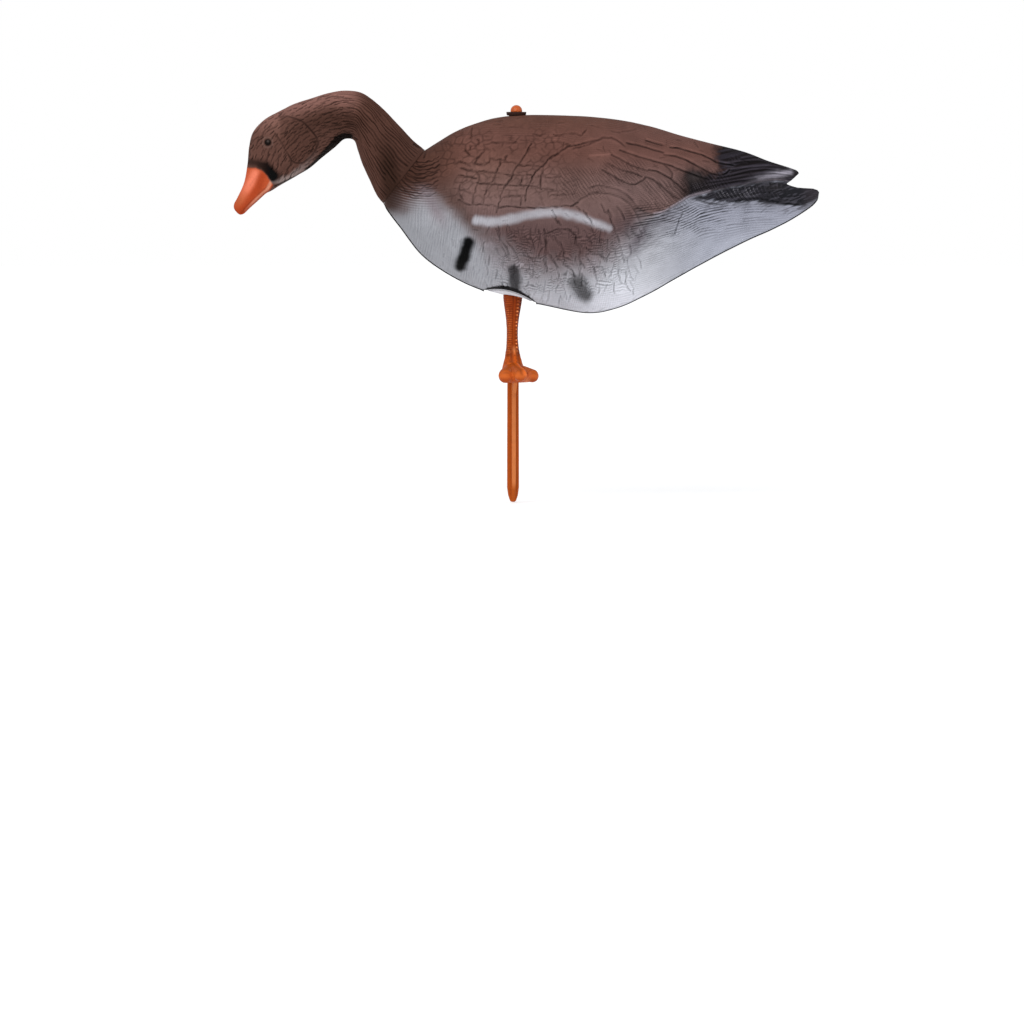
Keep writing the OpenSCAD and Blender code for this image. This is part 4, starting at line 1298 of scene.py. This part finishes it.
def build_body(side, name):
    rows, cols = 392, 230
    Q = even(BODY, rows, end_r=5.0)
    A = np.linspace(0, PI, cols)
    P = skin(Q, A, side)
    N = normals(P, side > 0)
    if N[rows // 2, cols // 2, 1] * side < 0:
        N = -N
    hgt, _, _ = body_relief(P, N)
    s = np.arange(rows)[:, None] / rows
    fade = smooth(0, 0.012, s) * smooth(1, 0.985, s)
    seat = smooth(13.5, 16.5, np.hypot(P[..., 0] - ROD_X, P[..., 1])) + (P[..., 2] < 250)
    belly = smooth(BELLY_R + 0.5, BELLY_R + 4, np.hypot(P[..., 0] - BODY_X + 6, P[..., 1])) + (P[..., 2] > 200)
    hgt = hgt * fade * np.clip(seat, 0, 1) * (0.25 + 0.75 * np.clip(belly, 0, 1))
    hgt = np.where(hgt > 0.8, 0.8 + 0.35 * (hgt - 0.8), hgt)
    P2 = P + N * hgt[..., None]
    # a thin flash of foam stands out along the bonded seam of the underside
    down = np.stack([N[:, -1, 0], N[:, -1, 1] * 0, N[:, -1, 2]], -1)
    P2[:, -1] += down * (1.9 * fade)
    P2[:, -2] += down * (1.3 * fade)
    P2[:, 0, 1] = 0
    P2[:, -1, 1] = 0
    P2[..., 1] = np.where(P2[..., 1] * side < 0, 0.0, P2[..., 1])
    me = half_mesh(name, P2, side, 1)
    mark_flat_faces(me, {"seam": rows - 1})
    obj = new_object(name, me)
    H = inset(even(BODY, 64, last=BODY_HOLLOW), WALL)
    H = np.vstack([along_pull(H[0], 8), H])
    tools = [cut(whole_mesh("hollow", H, 40)),
             cut(prism_mesh("notch", [(326.4, 237.7), (333, 242.2), (342.3, 250.2), (341.8, 252.2), (337.5, 256.2), (338, 268), (378, 268),
                                      (378, 222), (367.7, 224.2), (367.0, 227.4), (364.2, 230.4), (359, 232.1), (350, 232.6),
                                      (340, 233.4), (333, 235.2)], -60, 60)),
             cut(tube_mesh("hole", ROD_X, 0, 290, 345, 9.3)),
             cut(tube_mesh("seat", ROD_X, 0, SEAT_Z, 345, 12.4, 96)),
             cut(belly_tool("opening", BELLY_R + 0.4, BELLY_R + 2.0, 60, 150))]
    boolean(obj, tools)
    me = obj.data
    p, n = points(me), point_normals(me)
    _, dark, light = body_relief(p, n)
    col = body_paint(p, n)
    u, v = drawing(p)
    ph1, m1, ph2, m2 = body_fine(u, v, p, n)
    # the notch between wing tips and tail is painted with them; round the belly opening's rim a dark band is painted, a
    # painted shadow of the gap to the insert
    rim = np.hypot(p[:, 0] - BODY_X + 6, p[:, 1] * (BELLY_R + 0.4) / (BELLY_R + 2.0))
    flank = np.abs(p[:, 1]) / BELLY_R
    dk = smooth(BELLY_R + 2.0 + 4.6 * flank ** 2, BELLY_R + 0.9 + 3.6 * flank ** 2, rim) * (p[:, 2] < 150) * (rim > BELLY_R - 2)
    col = mix(col, lin(20, 20, 22), dk)
    # painted highlight: grey painted into the black of the wing and tail where the painted ridge highlight is
    black_paint_zone = smooth(0.06, 0.02, col.max(axis=1)) * (v > 130) * (u > 660)
    col = mix(col, lin(80, 74, 84), 0.62 * np.clip(light * 1.3, 0, 1) * black_paint_zone * (1 - 0.7 * smooth(182, 188, v)) * smooth(700, 716, u))
    set_foam(obj, [M_FOAM, M_BARE], col, dark, light)
    for k, a in (("ph1", ph1), ("m1", m1), ("ph2", ph2), ("m2", m2)):
        put(me, k, a)
    smooth_shade(obj, 50)
    return obj


def belly_tool(name, rx, ry, z0, z1, n=96):
    """An oval prism on the belly opening's axis."""
    th = np.linspace(0, 2 * PI, n, endpoint=False)
    x, y = BODY_X - 6 + rx * np.cos(th), ry * np.sin(th)
    v = [(a * MM, b * MM, z0 * MM) for a, b in zip(x, y)] + [(a * MM, b * MM, z1 * MM) for a, b in zip(x, y)]
    f = [list(range(n))[::-1], list(range(n, 2 * n))] + [[i, (i + 1) % n, (i + 1) % n + n, i + n] for i in range(n)]
    return outward(mesh_from(name, v, f))


def build_head(side, name):
    rows, cols = 470, 142
    S = HEAD.copy()
    S[0] = along_pull(S[0], COLLAR_GAP)
    Q = even(S, rows, end_r=7.0)
    A = np.linspace(0, PI, cols)
    P = skin(Q, A, side)
    N = normals(P, side < 0)
    if N[rows // 2, cols // 2, 1] * side < 0:
        N = -N
    mid = (Q[:, :2] + Q[:, 2:4]) / 2
    L = np.concatenate([[0], np.cumsum(np.hypot(*np.diff(mid, axis=0).T))])
    SS = np.repeat(L[:, None], cols, 1)
    AA = np.repeat(A[None, :], rows, 0)
    hgt, dark, light = head_relief(P, N, SS, AA)
    s = SS / L[-1]
    hgt = hgt * smooth(0, 0.008, s) * smooth(1, 0.985, s)
    P2 = P + N * hgt[..., None]
    P2[:, 0, 1] = 0
    P2[:, -1, 1] = 0
    P2[..., 1] = np.where(P2[..., 1] * side < 0, 0.0, P2[..., 1])
    me = half_mesh(name, P2, side, -1)
    mark_flat_faces(me, {"seam": rows - 1})
    # what depends on the place along the neck is set before the cut, and found again by place after it
    col = head_paint(P, N, SS, AA)
    obj = new_object(name, me)
    H = inset(even(HEAD, 60, last=HEAD_HOLLOW), WALL)
    H = np.vstack([along_pull(H[0], -8), H])
    boolean(obj, [cut(whole_mesh("hollow", H, 32))])
    me = obj.data
    p = points(me)
    from mathutils.kdtree import KDTree
    flat = P2.reshape(-1, 3)
    kd = KDTree(len(flat))
    for i, q in enumerate(flat):
        kd.insert(q, i)
    kd.balance()
    near = np.array([kd.find(q)[1] for q in p])
    set_foam(obj, [M_HEAD, M_BARE], col.reshape(-1, 3)[near], dark.ravel()[near], light.ravel()[near])
    smooth_shade(obj, 50)
    return obj


def build_insert():
    """The pale round insert in the belly, round the leg."""
    me = whole_mesh("belly_plug", even(BODY, 260), 150)
    obj = new_object("belly_plug", me)
    boolean(obj, [belly_tool("keep", BELLY_R - 1.2, BELLY_R + 0.6, 60, 121)], "INTERSECT")
    boolean(obj, [tube_mesh("hole", ROD_X, 0, 50, 150, 17.0, 96)])
    me = obj.data
    p, n = points(me), point_normals(me)
    r = np.hypot(p[:, 0] - BODY_X + 6, p[:, 1] * (BELLY_R - 1.2) / (BELLY_R + 0.6))
    # a low lip inside the rim, and a set-back of the whole face
    lip = np.exp(-((r - (BELLY_R - 4.5)) / 1.0) ** 2)
    p2 = p.copy()
    low = n[:, 2] < 0.2
    p2[:, 2] += np.where(low, 0.7 + 0.5 * lip, 0)
    me.vertices.foreach_set("co", (p2 * MM).astype(np.float32).ravel())
    me.update()
    c = np.ones((len(p), 3)) * lin(206, 206, 212)
    # painted shade: a dark line in the set-back lip, which is passed on as shade too, darker at the edge where the
    # insert meets the body, and greyer round the leg's hole
    c = mix(c, lin(84, 84, 89), 0.85 * lip)
    c = mix(c, lin(60, 60, 63), 0.8 * smooth(BELLY_R - 2.0, BELLY_R - 1.2, r))
    c = mix(c, lin(150, 150, 156), 0.6 * smooth(19.5, 17.2, np.hypot(p[:, 0] - ROD_X, p[:, 1])))
    set_foam(obj, [M_PALE], c, 0.3 * lip, 0 * r)
    smooth_shade(obj, 40)
    return obj


def build_plug():
    """Core of the neck joint: an oval tongue with a rounded end and a shoulder, on the collar's axis."""
    th = np.linspace(0, 2 * PI, 96, endpoint=False)
    prof = []
    for t in np.linspace(0, PI / 2, 9):
        prof.append((-50 + 5 * (1 - math.sin(t)), -5 * (1 - math.cos(t)) * 0 - 5 * (1 - math.sin(PI / 2 - (PI / 2 - t)))))
    rings = []
    for t in np.linspace(0, PI / 2, 9):                       # rounded lower edge
        rings.append((-50 + 5 * (1 - math.sin(t)), 33.0 - 5 * (1 - math.cos(t)) * 0 - 5 * (1 - math.sin(t)) * 0, t))
    V = []
    z = [(-50.0, 4.6), (-49.6, 3.0), (-48.8, 1.8), (-47.6, 0.8), (-46.0, 0.2), (-44.0, 0.0)]
    z += [(k, 0.0) for k in np.linspace(-42, -4, 20)]
    z += [(1.5, 0.0), (2.4, 0.2), (2.9, 0.9)]
    for zz, cutr in z:
        rib = 0.25 * math.cos(2 * PI * zz / 9.0) if -44 < zz < -4 else 0.0
        V.append((zz, 33.2 - cutr - 0.3 + rib, 28.6 - cutr - 0.3 + rib))
    V.append((2.95, 26.0, 21.0))
    for zz, cutr in ((6, 0.0), (12, 0.2), (18, 0.4), (22, 0.9), (23.8, 2.2), (24.7, 4.0)):
        V.append((zz, 26.0 - cutr, 21.0 - cutr))
    pts, faces = [], []
    ca, sa = math.cos(PULL - PI / 2), math.sin(PULL - PI / 2)
    for zz, a, b in V:
        x, y = a * np.cos(th), b * np.sin(th)
        X = ca * x + sa * zz + BODY_X - 133
        Z = -sa * x + ca * zz + 246
        pts.append(np.stack([X, y, Z], -1))
    pts = np.array(pts)
    m, n = pts.shape[:2]
    idx = np.arange(m * n).reshape(m, n)
    for i in range(m - 1):
        for j in range(n):
            faces.append([idx[i, j], idx[i, (j + 1) % n], idx[i + 1, (j + 1) % n], idx[i + 1, j]])
    faces.append(list(idx[0][::-1]))
    faces.append(list(idx[-1]))
    obj = new_object("neck_core", outward(mesh_from("neck_core", pts.reshape(-1, 3) * MM, faces)))
    obj.data.materials.append(M_BARE)
    smooth_shade(obj, 35)
    return obj


# ------------------------------------------------------------------ leg, foot and ground spike


def ball_points(c, r, n=20):
    th, ph = np.meshgrid(np.linspace(0, 2 * PI, n, endpoint=False), np.linspace(0, PI, n // 2 + 1))
    return np.stack([c[0] + r * np.sin(ph) * np.cos(th), c[1] + r * np.sin(ph) * np.sin(th), c[2] + r * np.cos(ph)], -1).reshape(-1, 3)


def hull_into(bm, balls):
    part = bmesh.new()
    for c, r in balls:
        for q in ball_points(c, r):
            part.verts.new(q * MM)
    got = bmesh.ops.convex_hull(part, input=part.verts)
    inner = [g for g in got["geom_interior"] if isinstance(g, bmesh.types.BMVert)]
    bmesh.ops.delete(part, geom=inner, context="VERTS")
    me = bpy.data.meshes.new("hull")
    part.to_mesh(me)
    part.free()
    bm.from_mesh(me)
    bpy.data.meshes.remove(me)


# Leg: x, y, z, half width, half depth; from inside the belly down to the ankle.
TARSUS = np.array([
    [0.3, 1.5, 129.6, 10.4, 10.6], [0.2, 1.5, 114, 11.2, 11.2], [0.0, 1.4, 101, 11.4, 11.2], [-0.2, 1.2, 90, 10.0, 10.4],
    [-0.5, 0.7, 78, 8.1, 9.4], [-0.8, 0.0, 66, 6.9, 8.7], [-0.9, -0.4, 54, 6.7, 8.5], [-0.8, -1.0, 44, 7.3, 8.8],
    [-0.7, -1.8, 34, 8.6, 9.8], [-0.6, -2.6, 25, 10.8, 11.6], [-0.5, -3.0, 17, 13.0, 13.2], [-0.5, -3.4, 9, 13.6, 14.0]], float)


def leg_core():
    bm = bmesh.new()
    Q = between(TARSUS, np.linspace(0, len(TARSUS) - 1, 150))
    th = np.linspace(0, 2 * PI, 72, endpoint=False)
    f = np.abs(np.cos(th)) ** 1.0
    P = np.stack([Q[:, 0:1] + Q[:, 3:4] * np.cos(th), Q[:, 1:2] + Q[:, 4:5] * np.sin(th), np.repeat(Q[:, 2:3], 72, 1)], -1)
    vs = [[bm.verts.new(q * MM) for q in row] for row in P]
    for i in range(len(vs) - 1):
        for j in range(72):
            bm.faces.new([vs[i][j], vs[i + 1][j], vs[i + 1][(j + 1) % 72], vs[i][(j + 1) % 72]])
    bm.faces.new(vs[0])
    bm.faces.new(vs[-1][::-1])
    # toes with the web between them, and the hind toe
    hull_into(bm, [((-4, -8, 13), 9.5), ((-12, -32, 10.5), 8.3), ((-16, -45.5, 9.2), 8.9)])
    hull_into(bm, [((0, -8, 15), 9.5), ((-2, -34, 12.2), 8.2)])
    hull_into(bm, [((-2, -34, 12.2), 8.2), ((0, -59.0, 10.4), 7.6)])
    hull_into(bm, [((4, -8, 13), 9.0), ((11, -30, 10.0), 7.2), ((16, -46.0, 8.8), 7.9)])
    hull_into(bm, [((0, 0, 8), 8), ((-13, -38, 5.4), 4.8), ((12, -38, 5.4), 4.6), ((0, -51, 6.0), 5.0)])
    hull_into(bm, [((-0.5, 2, 14), 7), ((-0.5, 12, 18.5), 4.6), ((-0.5, 21.5, 21.2), 3.4)])
    me = bpy.data.meshes.new("leg")
    bm.to_mesh(me)
    bm.free()
    obj = new_object("leg_stake_detailed", me)
    m = obj.modifiers.new("r", "REMESH")
    m.mode, m.voxel_size, m.adaptivity = "VOXEL", 0.85 * MM, 0.0
    s = obj.modifiers.new("s", "SMOOTH")
    s.factor, s.iterations = 0.5, 12
    bpy.context.view_layer.update()
    made = bpy.data.meshes.new_from_object(obj.evaluated_get(bpy.context.evaluated_depsgraph_get()))
    obj.modifiers.clear()
    obj.data = made
    return obj


def leg_scales(p, n):
    """Height, painted shade and painted highlight of the scales of the leg, in the foot's own axes."""
    ax = np.interp(p[:, 2], TARSUS[::-1, 2], TARSUS[::-1, 0])
    ay = np.interp(p[:, 2], TARSUS[::-1, 2], TARSUS[::-1, 1])
    phi = np.degrees(np.arctan2(p[:, 0] - ax, -(p[:, 1] - ay)))
    z = p[:, 2]
    span = smooth(27, 36, z) * smooth(119, 110, z)
    top = smooth(104, 88, z)
    h = np.zeros(len(p))
    sh = np.zeros(len(p))
    li = np.zeros(len(p))
    pit = 2.7
    # left column of broad scutes
    w = noise(z / 9, phi / 40, seed=131)
    c = np.cos(2 * PI * (z / pit + 0.0016 * (phi + 34) ** 2 / 10 + 0.10 * w))
    m = smooth(-86, -74, phi) * smooth(-4, -12, phi) * span * (0.35 + 0.65 * top)
    h += m * 0.24 * c
    spot = smooth(-0.5, 0.4, noise(z / 2.2, phi / 7, seed=137))
    sh = np.maximum(sh, m * 0.75 * smooth(0.0, -0.9, c) * (1 - 0.6 * spot))
    li = np.maximum(li, m * 0.55 * smooth(0.3, 1.0, c) * spot * np.exp(-((phi + 38) / 22) ** 2))
    # a row of beads right of the front with a painted highlight on each, and beyond it a column painted darker, more so
    # in its pits: painted shade
    c2 = np.cos(2 * PI * (z / 4.3 + 0.25))
    m2 = np.exp(-((phi - 27) / 8.5) ** 2) * span
    h += m2 * (0.35 + 0.55 * c2)
    li = np.maximum(li, m2 * smooth(0.1, 1.0, c2) * 1.7 * (0.7 + 0.6 * noise(z / 7, seed=136)))
    sh = np.maximum(sh, m2 * smooth(0.0, -1.0, c2) * 0.45)
    c3 = np.cos(2 * PI * (z / 4.3 + 0.55))
    m3 = np.exp(-((phi - 52) / 13) ** 2) * span
    h += m3 * 0.5 * c3
    sh = np.maximum(sh, m3 * (0.5 + 0.6 * smooth(0.3, -1.0, c3)))
    # columns parted by lines; small round scales at the back
    for at in (-6, 15, 72, -88):
        g = np.exp(-((phi - at) / 3.4) ** 2) * span
        h -= 0.35 * g
        sh = np.maximum(sh, 0.55 * g)
    back = smooth(78, 92, np.abs(phi)) * span
    c4 = np.cos(2 * PI * (z / 3.9 + np.abs(phi) / 42)) * np.cos(2 * PI * (z / 3.9 - np.abs(phi) / 42))
    h += back * 0.35 * c4
    sh = np.maximum(sh, back * 0.5 * smooth(0.1, -0.9, c4))
    # pebbled skin over the ankle
    ank = smooth(46, 34, z) * smooth(16, 26, z) * (p[:, 1] > -26)
    c5 = noise(p[:, 0] / 1.9, p[:, 1] / 1.9, z / 1.9, seed=133)
    h += ank * 0.28 * c5
    sh = np.maximum(sh, ank * 0.5 * smooth(-0.1, -0.5, c5))
    li = np.maximum(li, ank * 0.4 * smooth(0.15, 0.5, c5))
    # the cord of the middle toe, which curves down from the leg's front, with a painted highlight on it and painted
    # shade in the grooves beside it
    cx = np.interp(z, [10, 16, 24, 32, 44], [5.0, 3.4, 1.4, 0.2, -0.2])
    cord = np.exp(-((p[:, 0] - cx) / 2.3) ** 2) * smooth(8, 12, z) * smooth(46, 38, z) * (n[:, 1] < 0.2)
    h += 1.1 * cord
    li = np.maximum(li, 0.75 * cord)
    side = np.exp(-((np.abs(p[:, 0] - cx) - 4.4) / 1.5) ** 2) * smooth(9, 13, z) * smooth(44, 34, z) * (n[:, 1] < 0.2)
    h -= 0.5 * side
    sh = np.maximum(sh, 0.5 * side)
    # wrinkles across the toes
    toe = smooth(-20, -27, p[:, 1]) * smooth(0.2, 0.6, n[:, 2])
    c6 = np.cos(2 * PI * (p[:, 1] / 4.6 + 0.2 * noise(p[:, 0] / 5, seed=135)))
    h += toe * 0.22 * c6
    sh = np.maximum(sh, toe * 0.35 * smooth(-0.3, -1, c6))
    return h, sh, li


def spike_mesh():
    """Cross-ribbed spike with rounded rib edges and a tapered point, rising a little into the sole."""
    zs = np.concatenate([[2.0], np.linspace(0, -SPIKE_LEN + 36, 26)[1:],
                         -SPIKE_LEN + np.array([34, 30, 26, 22, 18, 14, 11, 8, 6, 4.5, 3, 2, 1.2, 0.6, 0.2, 0.0])])
    rows = []
    for z in zs:
        up = z + SPIKE_LEN
        R = np.interp(up, [0, 0.2, 0.6, 1.2, 2, 3, 4.5, 8, 34, 40], [0.5, 1.3, 2.1, 2.8, 3.4, 4.0, 4.6, 5.7, 9.6, 12])
        Lx, Ly = min(6.8 + 0.25 * smooth(0, -100, z), R), min(8.8, R)
        t = min(2.3, R * 0.72)
        r = min(0.9, t * 0.5)
        pts = []
        for k, (L, s) in enumerate(((Lx, 0), (Ly, 1), (Lx, 2), (Ly, 3))):
            arm = [(t + 0.45, -t), (max(L - r, t + 0.5), -t)]
            arm += [(max(L - r, t + 0.5) + r * math.sin(a), -t + r - r * math.cos(a)) for a in (0.4, 0.8, 1.2, PI / 2)]
            arm += [(x, -y) for x, y in arm[::-1]]
            ca, sa = round(math.cos(s * PI / 2)), round(math.sin(s * PI / 2))
            pts += [(x * ca - y * sa, x * sa + y * ca) for x, y in arm]
        rows.append([(x, y, z) for x, y in pts])
    P = np.array(rows)
    m, n = P.shape[:2]
    idx = np.arange(m * n).reshape(m, n)
    faces = [[idx[i, j], idx[i, (j + 1) % n], idx[i + 1, (j + 1) % n], idx[i + 1, j]] for i in range(m - 1) for j in range(n)]
    faces += [list(idx[0][::-1]), list(idx[-1])]
    return outward(mesh_from("spike", P.reshape(-1, 3) * MM, faces))


def build_leg():
    obj = leg_core()
    me = obj.data
    p, n = points(me), point_normals(me)
    h, _, _ = leg_scales(p, n)
    h = h * smooth(-1, 3, p[:, 2])
    p2 = p + n * h[:, None]
    p2[:, 2] = np.maximum(p2[:, 2], 0.05)
    me.vertices.foreach_set("co", (p2 * MM).astype(np.float32).ravel())
    me.update()
    gus = [(-6, 0.6), (-20, 0.6), (-18.4, -1.2), (-9.4, -13.4), (-8.6, -14), (-6, -14)]
    v = [(x * MM, y * MM, z * MM) for x in (-2.3, 2.3) for y, z in gus]
    k = len(gus)
    f = [list(range(k)), list(range(2 * k - 1, k - 1, -1))] + [[i, (i + 1) % k, (i + 1) % k + k, i + k] for i in range(k)]
    gm = outward(mesh_from("gusset", v, f))
    boolean(obj, [spike_mesh(), gm], "UNION")
    yaw = Matrix.Rotation(FOOT_YAW, 4, "Z")
    obj.data.transform(yaw)
    # the gusset and spike are one moulding with the foot; the rod's socket is bored from the top
    boolean(obj, [tube_mesh("socket", ROD_X, 0, 96, 140, 5.1, 48)])
    me = obj.data
    p, n = points(me), point_normals(me)
    c, s = math.cos(-FOOT_YAW), math.sin(-FOOT_YAW)
    q = np.stack([p[:, 0] * c - p[:, 1] * s, p[:, 0] * s + p[:, 1] * c, p[:, 2]], -1)
    qn = np.stack([n[:, 0] * c - n[:, 1] * s, n[:, 0] * s + n[:, 1] * c, n[:, 2]], -1)
    _, sh, li = leg_scales(q, qn)
    above = smooth(-0.5, 1.0, p[:, 2])
    z = p[:, 2]
    col = np.ones((len(p), 3)) * lin(170, 78, 20)                       # spike
    leg = np.ones_like(col) * lin(160, 65, 3)
    leg = mix(leg, lin(146, 54, 4), smooth(60, 100, z))
    leg = mix(leg, lin(184, 84, 26), smooth(36, 18, z))
    leg = mix(leg, lin(204, 100, 42), smooth(20, 8, z) * 0.7)
    # painted shade: darker at the sole and on faces turned downwards low on the foot
    leg = mix(leg, lin(150, 58, 10), 0.55 * smooth(9, 3.5, z) + 0.3 * smooth(0, -0.7, n[:, 2]) * smooth(16, 8, z))
    # painted shade in the scales' pits and lines, and painted highlight on the beads and raised scales
    leg = mix(leg, lin(98, 34, 3), 0.75 * sh * smooth(26, 34, z))
    leg = mix(leg, lin(232, 150, 92), 0.55 * np.clip(li, 0, 1) * smooth(30, 40, z))
    # painted highlight: a pale streak on the toes
    leg = mix(leg, lin(224, 140, 96), 0.5 * np.exp(-((q[:, 0] - 9.5) / 3.0) ** 2) * smooth(22, 8, z) * (q[:, 1] < -20))
    col = mix(col, leg, above)
    # painted highlight on the ends of the spike's front and back ribs
    ridge = smooth(6.6, 8.2, np.abs(q[:, 1])) * (1 - above)
    col = mix(col, lin(206, 122, 70), 0.75 * ridge)
    nn = 0.06 * fbm(p[:, 0] / 12, p[:, 1] / 12, p[:, 2] / 30, seed=141)
    col = np.clip(col * (1 + nn)[:, None], 0.002, 0.9)
    put(me, "paint", col, "FLOAT_COLOR")
    put(me, "shade", sh * above)
    put(me, "lift", li * above)
    me.materials.clear()
    me.materials.append(M_LEG)
    smooth_shade(obj, 38)
    return obj


def build_knob():
    """Ball with a short collar under it and a fine mould line round it."""
    zc, R = 325.0, 7.0
    prof = [(2.7, zc - 6.2), (3.9, zc - 6.45), (4.3, zc - 6.1)]
    for a in np.linspace(-0.98, PI / 2 - 0.02, 40):
        r = R + 0.16 * math.exp(-(a / 0.035) ** 2)
        prof.append((r * math.cos(a), zc + r * math.sin(a)))
    prof.append((0.02, zc + R))
    prof = prof + [(0.02, zc + 2.3), (2.7, zc + 2.2)]
    me = lathe_mesh("ball_knob_top", prof, ROD_X, 0, 72)
    obj = new_object("ball_knob_top", me)
    me.materials.append(M_KNOB)
    smooth_shade(obj, 45)
    return obj


def build_eyelet():
    """Flanged grommet: a shallow dish over the foam and a sleeve through it."""
    prof = [(4.06, 307.9), (8.7, 307.85), (9.0, 308.2), (9.0, 319.35), (9.4, 319.5), (10.6, 319.55), (11.35, 319.9), (11.7, 320.6),
            (11.9, 322.4), (12.0, 323.1), (11.9, 323.6), (11.5, 323.75), (11.1, 323.6), (10.4, 322.9), (9.3, 322.5), (8.2, 322.6),
            (7.4, 322.9), (6.95, 322.65), (6.4, 321.4), (5.6, 320.25), (4.7, 319.35), (4.15, 319.0), (4.06, 318.8)]
    me = lathe_mesh("grommet", prof, ROD_X, 0, 96)
    obj = new_object("grommet", me)
    me.materials.append(M_RUBBER)
    smooth_shade(obj, 32)
    return obj


# ------------------------------------------------------------------ the object

body_l = build_body(-1, "foam_body_left")
body_r = build_body(1, "foam_body_right")
head_l = build_head(-1, "foam_head_left")
head_r = build_head(1, "foam_head_right")
insert = build_insert()
plug = build_plug()
leg = build_leg()
knob = build_knob()
eyelet = build_eyelet()

for obj, body, node, slot in (
        (body_l, "body", "body_shell_left", "painted_foam"), (body_r, "body", "body_shell_right", "painted_foam"),
        (head_l, "head", "head_shell_left", "painted_foam_head"), (head_r, "head", "head_shell_right", "painted_foam_head"),
        (insert, "body", "belly_insert", "pale_foam"), (plug, "head", "neck_plug", "bare_foam"),
        (leg, "stake", "leg_stake", "orange_leg"), (knob, "stake", "ball_knob", "orange_gloss"),
        (eyelet, "body", "back_eyelet", "dark_rubber")):
    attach(obj, body)
    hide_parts(node)

for node, mat, slot in (("support_rod", M_ROD, "orange_rod"), ("eyelet_washer", M_WASHER, "grey_plastic")):
    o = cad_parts[node]
    o.data.materials.clear()
    o.data.materials.append(mat)

# ------------------------------------------------------------------ floor, light and camera


def build_floor():
    bm = bmesh.new()
    bmesh.ops.create_circle(bm, cap_ends=True, segments=128, radius=14.0)
    me = bpy.data.meshes.new("floor")
    bm.to_mesh(me)
    bm.free()
    o = new_object("floor", me)
    o.location = (0, 0, -SPIKE_LEN * MM - 0.0012)
    m = Mat("floor", spec=0.1)
    k = m.span(m.noise(3, 3), 0.3, 0.7, 0.985, 1.0)
    rgb = m.t.nodes.new("ShaderNodeRGB")
    rgb.outputs[0].default_value = (0.9, 0.9, 0.9, 1)
    m.b.inputs["Emission Color"].default_value = (1, 1, 1, 1)
    m.b.inputs["Emission Strength"].default_value = 0.36
    m.colour(m.scale_colour(rgb.outputs[0], k))
    m.b.inputs["Roughness"].default_value = 0.9
    me.materials.append(m.m)
    return o


build_floor()
def sun(name, azimuth, elevation, strength, angle):
    """A distant soft light: azimuth 0 shines from the camera's side, positive from its right."""
    L = bpy.data.lights.new(name, "SUN")
    L.energy, L.angle = strength, math.radians(angle)
    o = bpy.data.objects.new(name, L)
    SCENE.collection.objects.link(o)
    a, e = math.radians(azimuth), math.radians(elevation)
    back = Vector((math.sin(a) * math.cos(e), -math.cos(a) * math.cos(e), math.sin(e)))
    o.rotation_mode = "QUATERNION"
    o.rotation_quaternion = (-back).to_track_quat("-Z", "Y")
    o.location = back * 3
    return o


sun("key", -32, 38, 1.15, 50)
sun("fill", 55, 22, 0.35, 60)

world = bpy.data.worlds.new("studio")
SCENE.world = world
world.use_nodes = True
wt = world.node_tree
wt.nodes.clear()
wo = wt.nodes.new("ShaderNodeOutputWorld")
lit, seen = wt.nodes.new("ShaderNodeBackground"), wt.nodes.new("ShaderNodeBackground")
lit.inputs[0].default_value = (0.97, 0.985, 1.0, 1)
lit.inputs[1].default_value = 0.60
seen.inputs[0].default_value = (1, 1, 1, 1)
seen.inputs[1].default_value = 1.0
lp, mx = wt.nodes.new("ShaderNodeLightPath"), wt.nodes.new("ShaderNodeMixShader")
wt.links.new(lp.outputs["Is Camera Ray"], mx.inputs[0])
wt.links.new(lit.outputs[0], mx.inputs[1])
wt.links.new(seen.outputs[0], mx.inputs[2])
wt.links.new(mx.outputs[0], wo.inputs[0])

cam = bpy.data.cameras.new("camera")
cam.sensor_width = 36.0
cam.lens = 0.995 * 36.0 * 6.0 / (1024 * 0.0012)
cam.dof.use_dof = False
cam.clip_end = 100
co = bpy.data.objects.new("camera", cam)
SCENE.collection.objects.link(co)
target = Vector(DRAW_C) * MM
co.location = target + Vector((0, -math.cos(DRAW_EL), math.sin(DRAW_EL))) * 6.0
co.rotation_mode = "QUATERNION"
co.rotation_quaternion = (target - co.location).to_track_quat("-Z", "Y")
SCENE.camera = co
SCENE.view_settings.view_transform = "Standard"
